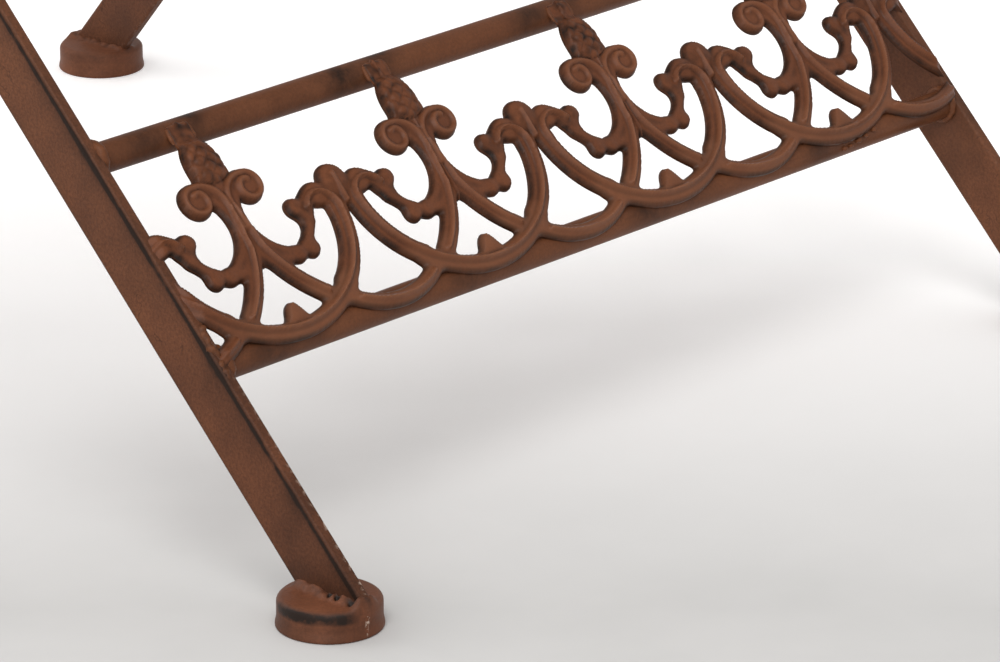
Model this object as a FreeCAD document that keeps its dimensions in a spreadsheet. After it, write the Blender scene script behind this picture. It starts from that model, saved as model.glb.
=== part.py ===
import FreeCAD, Part
import math
import os
from collections import Counter
from FreeCAD import Placement, Rotation, Vector

# Folding garden chair of flat iron bars. Each side rail is one bent bar: front leg below, back post above.
# The rear legs cross the side rails inside and turn on two rivets. The seat swings up about two rivets at
# its back edge and rests in front on a rod between the tops of the rear legs.
# Millimetres. +Z is up, the front of the chair faces -Y, and the origin is on the floor between the feet.

DIMENSIONS = {
    "frame_width": 400.0,
    "bar_width": 21.0,
    "bar_thickness": 4.6,
    "leg_lean": 44.0,
    "rear_lean": 40.15,
    "back_lean": 15.0,
    "foot_spread": 502.5,
    "foot_setback": 3.6,
    "foot_radius": 18.2,
    "foot_waist_radius": 17.7,
    "foot_height": 10.0,
    "foot_shoulder": 2.2,
    "foot_flare_height": 2.4,
    "foot_edge": 0.8,
    "rail_radius": 5.5,
    "lower_rail_reach": 87.2,
    "frieze_spacing": 82.2,
    "frieze_depth": 3.0,
    "frieze_ridge": 1.2,
    "frieze_start": 39.9,
    "bend_reach": 536.0,
    "bend_radius": 120.0,
    "post_reach": 400.0,
    "back_lower_rail_reach": 130.0,
    "back_frieze_reach": 292.0,
    "spindle_radius": 4.0,
    "arch_corner_radius": 80.0,
    "arch_slope": 25.0,
    "side_gap": 2.0,
    "seat_side_gap": 1.5,
    "washer_play": 0.1,
    "rivet_radius": 4.0,
    "rivet_head_radius": 8.0,
    "rivet_head_height": 3.6,
    "rivet_play": 0.05,
    "washer_radius": 9.0,
    "spacer_radius": 7.5,
    "rear_rail_reach": 180.0,
    "seat_height": 448.0,
    "slat_width": 26.0,
    "slat_side_gap": 9.7,
    "slat_thickness": 3.0,
    "slat_setback": 12.0,
    "waterfall_radius": 28.0,
    "waterfall_angle": 60.0,
    "seat_bar_radius": 5.0,
    "seat_depth": 301.5,
    "seat_rail_width": 20.0,
    "seat_rail_drop": 2.0,
    "seat_rail_overhang": 14.0,
    "seat_rear_bar_inset": 25.0,
    "rest_rod_drop": 36.0,
    "rest_rod_play": 0.3,
    "hook_reach": 16.0,
    "hook_lip": 8.0,
}

SLAT_COUNT = 9
SPINDLE_COUNT = 5

# The frieze motif was laid out for rails this far apart and is scaled to the real spacing.
DRAWN_SPACING = 82.2
DRAWN_PERIOD = 96.8
BAND = 6.2
STEM_BAND = 4.4
LEG_BAND = 5.4
RIDGE_BAND = 2.0
KNOB_RADIUS = 4.2
KNOB_CREST_RADIUS = 2.4

doc = FreeCAD.newDocument("FoldingGardenChair")
sheet = doc.addObject("Spreadsheet::Sheet", "Sizes")
for row, (alias, value) in enumerate(DIMENSIONS.items(), start=1):
    sheet.set(f"A{row}", alias)
    sheet.set(f"B{row}", str(value))
    sheet.setAlias(f"B{row}", alias)
doc.recompute()

nodes = []


def size(alias):
    return float(sheet.get(alias))


def keep(obj, label):
    obj.Label = label
    nodes.append(obj)
    return obj


# Side view: (y, z) pairs, with y measured back from the middle between the feet.

def along(start, lean, distance):
    angle = math.radians(lean)
    return (start[0] + distance * math.sin(angle), start[1] + distance * math.cos(angle))


def crossing(start_a, lean_a, start_b, lean_b):
    a, b = math.radians(lean_a), math.radians(lean_b)
    gap_y, gap_z = start_b[0] - start_a[0], start_b[1] - start_a[1]
    reach = (gap_y * math.cos(b) - gap_z * math.sin(b)) / math.sin(a - b)
    return along(start_a, lean_a, reach)


front_foot = (-size("foot_spread") / 2, 0.0)
rear_foot = (size("foot_spread") / 2, 0.0)
leg_start = (front_foot[0] - size("foot_setback"), size("foot_height"))
rear_start = (rear_foot[0], size("foot_height"))
bend_corner = along(leg_start, size("leg_lean"), size("bend_reach"))
post_top = along(bend_corner, size("back_lean"), size("post_reach"))
fold_pivot = crossing(leg_start, size("leg_lean"), rear_start, -size("rear_lean"))
slat_bottom = size("seat_height") - size("slat_thickness")
seat_rail_top = size("seat_height") - size("seat_rail_drop")
seat_axis_z = seat_rail_top - size("seat_rail_width") / 2
seat_bar_z = slat_bottom - size("seat_bar_radius")
seat_pivot = along(bend_corner, size("back_lean"),
                   (seat_axis_z - bend_corner[1]) / math.cos(math.radians(size("back_lean"))))
rest_rod_z = size("seat_height") - size("rest_rod_drop")
rest_rod = along(rear_start, -size("rear_lean"),
                 (rest_rod_z - rear_start[1]) / math.cos(math.radians(size("rear_lean"))))

half_width = size("frame_width") / 2
bar_inside = half_width - size("bar_thickness")
rear_outside = bar_inside - size("side_gap")
rear_inside = rear_outside - size("bar_thickness")
seat_outside = rear_inside - size("seat_side_gap")
seat_inside = seat_outside - size("bar_thickness")
SIDES = (("left", -1), ("right", 1))


def sheet_x(outside, side, thickness):
    # Lower X of a bar whose outer face lies at this distance from the middle.
    return -outside if side < 0 else outside - thickness


def leaning_frame(point, lean):
    # Local Z runs up the bars, local -Y faces the front.
    return Placement(Vector(0, point[0], point[1]), Rotation(Vector(1, 0, 0), -lean))


LEG_FRAME = leaning_frame(leg_start, size("leg_lean"))
BACK_FRAME = leaning_frame(bend_corner, size("back_lean"))
REAR_FRAME = leaning_frame(rear_start, -size("rear_lean"))


def origin_plane(body, role):
    return next(item for item in body.Origin.OriginFeatures if item.Role == role)


def sketch_on(body, role, geometry):
    sketch = body.newObject("Sketcher::SketchObject", "Profile")
    sketch.AttachmentSupport = [(origin_plane(body, role), "")]
    sketch.MapMode = "FlatFace"
    sketch.addGeometry(geometry, False)
    return sketch


def padded(label, role, geometry, depth, middle=False):
    body = doc.addObject("PartDesign::Body", label)
    pad = body.newObject("PartDesign::Pad", "Pad")
    pad.Profile = sketch_on(body, role, geometry)
    pad.setExpression("Length", depth)
    pad.Midplane = middle
    body.Tip = pad
    return keep(body, label)


def turned(label, geometry, axis):
    body = doc.addObject("PartDesign::Body", label)
    turn = body.newObject("PartDesign::Revolution", "Revolution")
    sketch = sketch_on(body, "XZ_Plane", geometry)
    turn.Profile = sketch
    turn.ReferenceAxis = (sketch, [axis])
    turn.Angle = 360
    body.Tip = turn
    return keep(body, label)


def flat(point):
    return Vector(point[0], point[1], 0)


def polyline(points):
    return [Part.LineSegment(flat(a), flat(b)) for a, b in zip(points, points[1:])]


def hole(center, radius):
    return Part.Circle(flat(center), Vector(0, 0, 1), radius)


def beside(point, lean, offset):
    # A point square to a leaning line, towards the back and down for a positive offset.
    angle = math.radians(lean)
    return (point[0] + offset * math.cos(angle), point[1] - offset * math.sin(angle))


def level_cut(point, lean, offset):
    # Where an edge of a leaning bar meets the level of its start point.
    edge = beside(point, lean, offset)
    return along(edge, lean, (point[1] - edge[1]) / math.cos(math.radians(lean)))


def side_rail_outline():
    half = size("bar_width") / 2
    lean, back = size("leg_lean"), size("back_lean")
    turn = math.radians(lean - back) / 2
    tangent = size("bend_radius") * math.tan(turn)
    bend_start = along(bend_corner, lean, -tangent)
    bend_end = along(bend_corner, back, tangent)
    centre = beside(bend_start, lean, -size("bend_radius"))
    middle_lean = (lean + back) / 2
    outline = []
    corners = {}
    for side, offset in (("front", -half), ("back", half)):
        radius = size("bend_radius") + offset
        bottom = level_cut(leg_start, lean, offset)
        entry = beside(bend_start, lean, offset)
        leave = beside(bend_end, back, offset)
        top = beside(post_top, back, offset)
        middle = beside(centre, middle_lean, radius)
        outline += polyline([bottom, entry])
        outline.append(Part.Arc(flat(entry), flat(middle), flat(leave)))
        outline += polyline([leave, top])
        corners[side] = (bottom, top)
    outline += polyline([corners["front"][0], corners["back"][0]])
    outline += polyline([corners["front"][1], corners["back"][1]])
    outline.append(hole(fold_pivot, size("rivet_radius")))
    outline.append(hole(seat_pivot, size("rivet_radius")))
    return outline


def make_side_rails():
    for name, side in SIDES:
        rail = padded(f"side_rail_{name}", "YZ_Plane", side_rail_outline(), "Sizes.bar_thickness")
        rail.Placement.Base.x = sheet_x(half_width, side, size("bar_thickness"))


def rear_leg_outline():
    half = size("bar_width") / 2
    lean = -size("rear_lean")
    front_bottom = level_cut(rear_start, lean, -half)
    back_bottom = level_cut(rear_start, lean, half)
    front_top = beside(rest_rod, lean, -half)
    back_top = beside(rest_rod, lean, half)
    tip = along(rest_rod, lean, half)
    outline = polyline([front_top, front_bottom, back_bottom, back_top])
    outline.append(Part.Arc(flat(back_top), flat(tip), flat(front_top)))
    outline.append(hole(fold_pivot, size("rivet_radius") + size("rivet_play")))
    return outline


def make_rear_legs():
    for name, side in SIDES:
        leg = padded(f"rear_leg_{name}", "YZ_Plane", rear_leg_outline(), "Sizes.bar_thickness")
        leg.Placement.Base.x = sheet_x(rear_outside, side, size("bar_thickness"))


def foot_profile():
    # Half section of a round cap foot: a rounded sole edge, a slight flare, a rounded shoulder.
    sole, waist = size("foot_radius"), size("foot_waist_radius")
    top, flare = size("foot_height"), size("foot_flare_height")
    shoulder, edge = size("foot_shoulder"), size("foot_edge")
    bulge = 1 - math.sqrt(0.5)
    profile = polyline([(0, top), (0, 0), (sole - edge, 0)])
    profile.append(Part.Arc(flat((sole - edge, 0)),
                            flat((sole - edge * bulge, edge * bulge)),
                            flat((sole, edge))))
    profile += polyline([(sole, edge), (waist, flare), (waist, top - shoulder)])
    profile.append(Part.Arc(flat((waist, top - shoulder)),
                            flat((waist - shoulder * bulge, top - shoulder * bulge)),
                            flat((waist - shoulder, top))))
    profile += polyline([(waist - shoulder, top), (0, top)])
    return profile


def make_feet():
    for row, outside, place in (("front", half_width, front_foot), ("rear", rear_outside, rear_foot)):
        for name, side in SIDES:
            foot = turned(f"{row}_foot_{name}", foot_profile(), "V_Axis")
            foot.Placement.Base = Vector(side * (outside - size("bar_thickness") / 2), place[0], place[1])


def cross_bar(label, radius, half_length, point):
    bar = doc.addObject("Part::Cylinder", label)
    bar.setExpression("Radius", f"Sizes.{radius}")
    bar.Height = 2 * half_length
    bar.Placement = Placement(Vector(-half_length, point[0], point[1]), Rotation(Vector(0, 1, 0), 90))
    return keep(bar, label)


def framed(frame, reach, forward):
    # (y, z) of a point this far up a leaning frame and this far in front of its middle plane.
    point = frame.multVec(Vector(0, -forward, reach))
    return (point.y, point.z)


def make_rails():
    # The rails between the side bars lie flush with the bars' front edges.
    forward = size("bar_width") / 2 - size("rail_radius")
    leg_reach = size("lower_rail_reach")
    back_reach = size("back_frieze_reach")
    spacing = size("frieze_spacing")
    rails = {}
    for label, frame, reach in (
        ("front_lower_rail", LEG_FRAME, leg_reach),
        ("front_upper_rail", LEG_FRAME, leg_reach + spacing),
        ("back_lower_rail", BACK_FRAME, size("back_lower_rail_reach")),
        ("back_middle_rail", BACK_FRAME, back_reach),
        ("back_upper_rail", BACK_FRAME, back_reach + spacing),
    ):
        rails[label] = cross_bar(label, "rail_radius", bar_inside, framed(frame, reach, forward))
    cross_bar("rear_rail", "rail_radius", rear_inside, framed(REAR_FRAME, size("rear_rail_reach"), 0))
    cross_bar("seat_rest_rod", "rail_radius", rear_inside, rest_rod)
    return rails


def make_spindles(rails):
    # Upright round bars of the back, coped to the two rails that they stand between.
    forward = size("bar_width") / 2 - size("rail_radius")
    low = size("back_lower_rail_reach")
    high = size("back_frieze_reach")
    pitch = 2 * bar_inside / (SPINDLE_COUNT + 1)
    for index in range(SPINDLE_COUNT):
        x = (index + 1) * pitch - bar_inside
        bar = doc.addObject("Part::Cylinder", f"SpindleBar{index + 1}")
        bar.setExpression("Radius", "Sizes.spindle_radius")
        bar.Height = high - low
        bar.Placement = BACK_FRAME.multiply(Placement(Vector(x, -forward, low), Rotation()))
        coped = bar
        for rail in ("back_lower_rail", "back_middle_rail"):
            cut = doc.addObject("Part::Cut", f"Cope{index + 1}")
            cut.Base = coped
            cut.Tool = rails[rail]
            coped = cut
        keep(coped, f"back_spindle_{index + 1}")


def make_top_rail():
    # The same flat bar, bent the easy way into an arch that stands on the two post ends.
    outer_x = half_width
    start = size("post_reach")
    corner, slope = size("arch_corner_radius"), math.radians(size("arch_slope"))
    thick = size("bar_thickness")
    centre_x = outer_x - corner
    crown_radius = centre_x / math.sin(slope) + corner
    crown_z = start - centre_x / math.tan(slope)
    geometry = []
    for inset in (0.0, thick):
        small, large = corner - inset, crown_radius - inset
        crown = large * math.sin(slope)
        crown_top = crown_z + large * math.cos(slope)
        for side in (-1, 1):
            knee = math.pi / 4 - slope / 2
            begin = (side * (outer_x - inset), start)
            bend = (side * (centre_x + small * math.cos(knee)), start + small * math.sin(knee))
            geometry.append(Part.Arc(flat(begin), flat(bend), flat((side * crown, crown_top))))
        geometry.append(Part.Arc(flat((-crown, crown_top)),
                                 flat((0, crown_z + large)),
                                 flat((crown, crown_top))))
    for side in (-1, 1):
        geometry += polyline([(side * outer_x, start), (side * (outer_x - thick), start)])
    rail = padded("back_top_rail", "XZ_Plane", geometry, "Sizes.bar_width", middle=True)
    rail.Placement = BACK_FRAME


# The cast frieze: a repeat of mirrored scrolls on a ring, with a cone bud above and a leaf below.

def heading_vector(angle):
    return Vector(math.cos(angle), math.sin(angle), 0)


def left_of(angle):
    return Vector(-math.sin(angle), math.cos(angle), 0)


def walk(start, heading, moves):
    # Stations along a strand. A straight move gives its length, a curved one its radius and turn to the left.
    stations = [(flat(start), math.radians(heading), 0.0, 0.0)]
    for move in moves:
        point, angle = stations[-1][:2]
        if len(move) == 1:
            stations.append((point + heading_vector(angle) * move[0], angle, 0.0, 0.0))
            continue
        turn = math.radians(move[1])
        radius = math.copysign(move[0], turn)
        centre = point + left_of(angle) * radius
        stations.append((centre - left_of(angle + turn) * radius, angle + turn, radius, turn))
    return stations


def strand_edge(first, last, offset):
    # One edge of a strand between two stations, at this distance to the left of its line.
    begin = first[0] + left_of(first[1]) * offset
    end = last[0] + left_of(last[1]) * offset
    radius, turn = last[2:]
    if not turn:
        return Part.LineSegment(begin, end).toShape()
    centre = first[0] + left_of(first[1]) * radius
    middle = centre - left_of(first[1] + turn / 2) * (radius - offset)
    return Part.Arc(begin, middle, end).toShape()


def strand(start, heading, moves, width):
    # A band of even width along straight and curved stretches, with round ends.
    stations = walk(start, heading, moves)
    half = width / 2
    edges = []
    for offset in (half, -half):
        edges += [strand_edge(first, last, offset) for first, last in zip(stations, stations[1:])]
    for (point, angle, _, _), ahead in ((stations[0], -half), (stations[-1], half)):
        across = left_of(angle) * half
        tip = point + heading_vector(angle) * ahead
        edges.append(Part.Arc(point + across, tip, point - across).toShape())
    return Part.Face(Part.Wire(Part.__sortEdges__(edges)))


def disc(center, radius):
    return Part.Face(Part.Wire(Part.Circle(flat(center), Vector(0, 0, 1), radius).toShape()))


def upright_oval(center, half_across, half_height):
    major = Vector(center[0], center[1] + half_height, 0)
    minor = Vector(center[0] - half_across, center[1], 0)
    return Part.Face(Part.Wire(Part.Ellipse(major, minor, flat(center)).toShape()))


def mirrored(face):
    return face.mirror(Vector(0, 0, 0), Vector(1, 0, 0))


def motif_strands(band, stem, leg):
    # The strands of one repeat, about its upright axis and above the middle of the lower rail.
    # The first runs from trunk to trunk: lower scroll, hook, ring, hook and lower scroll.
    half = [(13.1, 112), (14.0,), (5.7, -150), (44.5, -82)]
    strands = [strand((3.655, 32.45), -60, half + half[::-1], band)]
    for face in (
        strand((1.9, 31.5), 90, [(16.7,), (9.25, -90), (4.1, -200)], stem),
        strand((2.0, 32.5), -70, [(57.0, 30)], leg),
    ):
        strands += [face, mirrored(face)]
    return strands


def motif_lobes():
    # Rounded knobs and lobes on the scrolls, the bud's calyx and tip, and the leaf that stands on the ring.
    lobes = [upright_oval((0, 3.5), 4.0, 5.5), disc((0, 55.5), 4.8), strand((0, 68.0), 90, [(12.8,)], 7.0)]
    for (x, z), radius in (
        ((11.3, 53.3), 3.2),
        ((39.5, 43.6), 4.6),
        ((27.3, 40.4), 3.4),
        ((24.6, 25.0), 3.0),
        ((18.2, 23.8), 2.8),
    ):
        lobes += [disc((x, z), radius), disc((-x, z), radius)]
    return lobes


def joint_faces(band, seam, knob):
    # What two repeats share: the seam of their arms, the knob over it and the arc that links their rings.
    x = DRAWN_PERIOD / 2
    return [
        strand((x, 37.5), 90, [(8.0,)], seam),
        strand((x - 21.5, 3.8), -30, [(42.8, 60)], band),
        disc((x, 47.8), knob),
    ]


def joined(faces):
    # One face inside the outer and inner rims of overlapping faces.
    fused = faces[0].multiFuse(faces[1:])
    edges = [edge for face in fused.Faces for edge in face.Edges]
    uses = Counter(edge.hashCode() for edge in edges)
    rim = [edge for edge in edges if uses[edge.hashCode()] == 1]
    return Part.makeFace([Part.Wire(group) for group in Part.sortEdges(rim)], "Part::FaceMakerBullseye")


def strip(motif, shared, length, first_axis):
    # The repeats side by side, cut to length at both ends like a sawn casting.
    window = Part.makePlane(length, 3 * DRAWN_SPACING, Vector(0, -DRAWN_SPACING, 0))
    pieces = []
    for index in range(-1, int(length // DRAWN_PERIOD) + 2):
        for shape in [motif] + shared:
            copy = shape.copy()
            copy.translate(Vector(first_axis + index * DRAWN_PERIOD, 0, 0))
            piece = copy.common(window)
            if piece.Faces:
                pieces.append(piece)
    return joined(pieces)


def cone_bud():
    # A half round bud standing proud of the frieze's flat back.
    middle, radius, half_height = 66.0, 6.6, 10.0
    oval = upright_oval((0, middle), radius, half_height)
    half = oval.common(Part.makePlane(radius, 2 * half_height, Vector(0, middle - half_height, 0)))
    bud = half.revolve(Vector(0, middle, 0), Vector(0, 1, 0), 360)
    front = Part.makeBox(4 * radius, 4 * half_height, 2 * radius,
                         Vector(-2 * radius, middle - 2 * half_height, 0))
    return bud.common(front)


def frieze_shape():
    # Drawn in X and Y with its flat back at Z = 0, in the motif's own units.
    scale = size("frieze_spacing") / DRAWN_SPACING
    length = size("frame_width") / scale
    first_axis = size("frieze_start") / scale
    depth, ridge = size("frieze_depth") / scale, size("frieze_ridge") / scale
    body = joined(motif_strands(BAND, STEM_BAND, LEG_BAND) + motif_lobes())
    raised = joined(motif_strands(RIDGE_BAND, RIDGE_BAND, RIDGE_BAND))
    base = strip(body, joint_faces(BAND, STEM_BAND, KNOB_RADIUS), length, first_axis)
    crest = strip(raised, joint_faces(RIDGE_BAND, RIDGE_BAND, KNOB_CREST_RADIUS), length, first_axis)
    layers = [base.extrude(Vector(0, 0, depth)), crest.extrude(Vector(0, 0, ridge))]
    layers[1].translate(Vector(0, 0, depth))
    for index in range(int((length - first_axis) // DRAWN_PERIOD) + 1):
        bud = cone_bud()
        bud.translate(Vector(first_axis + index * DRAWN_PERIOD, 0, 0))
        layers.append(bud)
    shape = layers[0].fuse(layers[1:]).removeSplitter()
    # Crumbs that the saw leaves at the cut ends fall away.
    casting = max(shape.Solids, key=lambda solid: solid.Volume)
    casting.scale(scale)
    return casting


def make_friezes():
    casting = frieze_shape()
    lying = Rotation(Vector(1, 0, 0), 90)
    for label, frame, reach in (
        ("front_frieze", LEG_FRAME, size("lower_rail_reach")),
        ("back_frieze", BACK_FRAME, size("back_frieze_reach")),
    ):
        frieze = doc.addObject("Part::Feature", label)
        frieze.Shape = casting.copy()
        seat = Placement(Vector(-half_width, -size("bar_width") / 2, reach), lying)
        frieze.Placement = frame.multiply(seat)
        keep(frieze, label)


def rivet_profile(span):
    # Half section along X: a shank with a domed head at each end.
    shank, head, dome = size("rivet_radius"), size("rivet_head_radius"), size("rivet_head_height")
    sphere = (head * head + dome * dome) / (2 * dome)
    half_angle = math.asin(head / sphere) / 2
    rise = sphere * (1 - math.cos(half_angle))
    shoulder = sphere * math.sin(half_angle)
    profile = [
        Part.Arc(flat((-dome, 0)), flat((-dome + rise, shoulder)), flat((0, head))),
        Part.Arc(flat((span + dome, 0)), flat((span + dome - rise, shoulder)), flat((span, head))),
    ]
    profile += polyline([(0, head), (0, shank), (span, shank), (span, head)])
    profile += polyline([(-dome, 0), (span + dome, 0)])
    return profile


def ring(label, outer, inner, length, base):
    outside = doc.addObject("Part::Cylinder", f"{label}_outside")
    outside.setExpression("Radius", f"Sizes.{outer}")
    inside = doc.addObject("Part::Cylinder", f"{label}_inside")
    inside.setExpression("Radius", inner)
    collar = doc.addObject("Part::Cut", label)
    for cylinder in (outside, inside):
        cylinder.Height = length
        cylinder.Placement = Placement(base, Rotation(Vector(0, 1, 0), 90))
    collar.Base = outside
    collar.Tool = inside
    return keep(collar, label)


def make_pivots():
    # Each rivet is tight in the side rail and runs free in the bar that turns on it.
    play = size("washer_play")
    for word, collar, point, inside, radius in (
        ("fold", "washer", fold_pivot, rear_outside, "washer_radius"),
        ("seat", "spacer", seat_pivot, seat_outside, "spacer_radius"),
    ):
        span = half_width - inside + size("bar_thickness") + play
        length = bar_inside - inside - play
        for name, side in SIDES:
            rivet = turned(f"{word}_rivet_{name}", rivet_profile(span), "H_Axis")
            start = -half_width if side < 0 else half_width - span
            rivet.Placement.Base = Vector(start, point[0], point[1])
            start = -bar_inside if side < 0 else bar_inside - length
            ring(f"{word}_{collar}_{name}", radius, "Sizes.rivet_radius", length,
                 Vector(start, point[0], point[1]))


seat_front = (seat_pivot[0] - size("seat_depth"), seat_bar_z)


def rounded_bar_outline(start, end, width):
    half = width / 2
    outline = polyline([(start[0], start[1] + half), (end[0], end[1] + half)])
    outline += polyline([(start[0], start[1] - half), (end[0], end[1] - half)])
    for point, ahead in ((start, -half), (end, half)):
        outline.append(Part.Arc(flat((point[0], point[1] + half)), flat((point[0] + ahead, point[1])),
                                flat((point[0], point[1] - half))))
    return outline


def hook_outline():
    # A plate that drops over the rest rod: a lip in front of the rod, open behind it.
    y, z = rest_rod
    clear = size("rail_radius") + size("rest_rod_play")
    reach, lip = size("hook_reach"), size("hook_lip")
    nick = clear * math.sqrt(0.5)
    top = seat_axis_z + size("seat_rail_width") / 4
    bottom = z - lip / 2
    outline = polyline([(y, z + clear), (y + reach, z + clear + lip), (y + reach, top), (y - reach, top),
                        (y - reach, z), (y - clear - lip / 2, bottom), (y - clear, bottom), (y - clear, z)])
    outline.append(Part.Arc(flat((y - clear, z)), flat((y - nick, z + nick)), flat((y, z + clear))))
    return outline


def slat_outline():
    # A flat strip whose front end rolls down over the front bar.
    top, thick = size("seat_height"), size("slat_thickness")
    back = seat_pivot[0] - size("slat_setback")
    front = seat_front[0]
    angle = math.radians(size("waterfall_angle"))
    outline = []
    ends = []
    for radius in (size("waterfall_radius"), size("waterfall_radius") - thick):
        centre = (front, top - size("waterfall_radius"))
        points = [(centre[0] - radius * math.sin(share * angle), centre[1] + radius * math.cos(share * angle))
                  for share in (0.0, 0.5, 1.0)]
        outline.append(Part.Arc(*[flat(point) for point in points]))
        outline += polyline([points[0], (back, points[0][1])])
        ends.append(points[2])
    outline += polyline(ends)
    outline += polyline([(back, top), (back, top - thick)])
    return outline


def make_seat():
    rear_bar = (seat_pivot[0] - size("seat_rear_bar_inset"), seat_bar_z)
    hook_back = rest_rod[0] + size("hook_reach")
    middle_bar = ((hook_back + rear_bar[0]) / 2, seat_bar_z)
    rail_front = (seat_front[0] - size("seat_rail_overhang") + size("seat_rail_width") / 2, seat_axis_z)
    for name, side in SIDES:
        outline = rounded_bar_outline(rail_front, seat_pivot, size("seat_rail_width"))
        outline.append(hole(seat_pivot, size("rivet_radius") + size("rivet_play")))
        rail = padded(f"seat_rail_{name}", "YZ_Plane", outline, "Sizes.bar_thickness")
        rail.Placement.Base.x = sheet_x(seat_outside, side, size("bar_thickness"))
        hook = padded(f"seat_hook_{name}", "YZ_Plane", hook_outline(), "Sizes.bar_thickness")
        hook.Placement.Base.x = sheet_x(seat_inside, side, size("bar_thickness"))
    for word, place in (("front", seat_front), ("middle", middle_bar), ("rear", rear_bar)):
        cross_bar(f"seat_{word}_bar", "seat_bar_radius", seat_inside, place)
    first = size("slat_side_gap") - seat_inside
    pitch = (-2 * first - size("slat_width")) / (SLAT_COUNT - 1)
    for index in range(SLAT_COUNT):
        slat = padded(f"seat_slat_{index + 1}", "YZ_Plane", slat_outline(), "Sizes.slat_width")
        slat.Placement.Base.x = first + index * pitch


make_side_rails()
make_rear_legs()
make_feet()
make_spindles(make_rails())
make_top_rail()
make_friezes()
make_pivots()
make_seat()
doc.recompute()

for obj in doc.Objects:
    if "Invalid" in obj.State or "Error" in obj.State:
        raise RuntimeError(f"{obj.Label} failed: {obj.State}")
for node in nodes:
    if node.Shape.isNull() or not node.Shape.isValid():
        raise RuntimeError(f"{node.Label} has no valid shape")

os.makedirs("parts", exist_ok=True)
for node in nodes:
    node.Shape.exportStep(f"parts/{node.Label}.step")
    print(node.Label, len(node.Shape.Solids), round(node.Shape.Volume, 1))
print("fold pivot", fold_pivot, "seat pivot", seat_pivot, "rest rod", rest_rod)
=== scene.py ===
import cmath
import math

import bmesh
import bpy
import numpy as np
from mathutils import Matrix, Vector, noise


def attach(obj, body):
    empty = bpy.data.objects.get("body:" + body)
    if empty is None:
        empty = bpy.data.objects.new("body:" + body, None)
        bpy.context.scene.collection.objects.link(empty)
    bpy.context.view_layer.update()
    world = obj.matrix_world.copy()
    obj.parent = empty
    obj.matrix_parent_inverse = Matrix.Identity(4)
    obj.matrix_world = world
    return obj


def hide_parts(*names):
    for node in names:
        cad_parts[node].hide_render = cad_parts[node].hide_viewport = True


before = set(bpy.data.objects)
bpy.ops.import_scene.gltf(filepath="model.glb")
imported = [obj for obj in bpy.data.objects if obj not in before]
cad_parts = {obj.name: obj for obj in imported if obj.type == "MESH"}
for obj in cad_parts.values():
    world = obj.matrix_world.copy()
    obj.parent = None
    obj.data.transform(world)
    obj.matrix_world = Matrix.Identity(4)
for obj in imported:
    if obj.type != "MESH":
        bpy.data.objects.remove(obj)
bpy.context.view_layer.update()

# Sizes of the chair are in millimetres, as in the CAD model, and become metres when a mesh is made.
MM = 0.001
HALF_WIDTH = 200.0
BAR_WIDTH = 21.0
BAR_THICKNESS = 4.6
BAR_ROUND = 1.0
LEG_LEAN = 44.0
REAR_LEAN = 40.15
BACK_LEAN = 15.0
FOOT_Y = 251.25
FOOT_HEIGHT = 10.0
LEG_START = (-254.85, FOOT_HEIGHT)
REAR_START = (FOOT_Y, FOOT_HEIGHT)
BEND_REACH = 536.0
BEND_RADIUS = 120.0
POST_REACH = 400.0
RAIL_RADIUS = 5.5
RAIL_FORWARD = BAR_WIDTH / 2 - RAIL_RADIUS
LOWER_RAIL_REACH = 87.2
FRIEZE_SPACING = 82.2
BACK_LOWER_RAIL_REACH = 130.0
BACK_FRIEZE_REACH = 292.0
SPINDLE_RADIUS = 4.0
SPINDLE_COUNT = 5
ARCH_CORNER = 80.0
ARCH_SLOPE = 25.0
SIDE_GAP = 2.0
SEAT_SIDE_GAP = 1.5
WASHER_PLAY = 0.1
RIVET_HEAD_RADIUS = 8.0
RIVET_HEAD_HEIGHT = 3.6
RIVET_SHANK_RADIUS = 4.0
RIVET_AROUND = 48
WASHER_RADIUS = 9.0
SPACER_RADIUS = 7.5
REAR_RAIL_REACH = 180.0
SEAT_HEIGHT = 448.0
SEAT_DEPTH = 301.5
SEAT_RAIL_WIDTH = 20.0
SEAT_AXIS_Z = SEAT_HEIGHT - 2.0 - SEAT_RAIL_WIDTH / 2
SEAT_RAIL_OVERHANG = 14.0
SEAT_BAR_RADIUS = 5.0
SEAT_REAR_INSET = 25.0
SLAT_COUNT = 9
SLAT_WIDTH = 26.0
SLAT_THICKNESS = 3.0
SLAT_ROUND = 0.9
SLAT_SIDE_GAP = 9.7
SLAT_SETBACK = 12.0
WATERFALL_RADIUS = 28.0
WATERFALL_ANGLE = 60.0
REST_ROD_Z = SEAT_HEIGHT - 36.0
REST_ROD_PLAY = 0.3
HOOK_REACH = 16.0
HOOK_LIP = 8.0
HOOK_BEVEL = 0.6
BAR_INSIDE = HALF_WIDTH - BAR_THICKNESS
REAR_OUTSIDE = BAR_INSIDE - SIDE_GAP
REAR_INSIDE = REAR_OUTSIDE - BAR_THICKNESS
SEAT_OUTSIDE = REAR_INSIDE - SEAT_SIDE_GAP
SEAT_INSIDE = SEAT_OUTSIDE - BAR_THICKNESS
SPINDLE_X = np.linspace(-BAR_INSIDE, BAR_INSIDE, SPINDLE_COUNT + 2)[1:-1]
SIDES = (("left", -1), ("right", 1))
MAIN, REAR, SEAT = "main_frame", "rear_legs", "seat"


# Places, frames and blends

def along(start, lean, distance):
    angle = math.radians(lean)
    return (start[0] + distance * math.sin(angle), start[1] + distance * math.cos(angle))


def crossing(start_a, lean_a, start_b, lean_b):
    a, b = math.radians(lean_a), math.radians(lean_b)
    gap_y, gap_z = start_b[0] - start_a[0], start_b[1] - start_a[1]
    return along(start_a, lean_a, (gap_y * math.cos(b) - gap_z * math.sin(b)) / math.sin(a - b))


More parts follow.
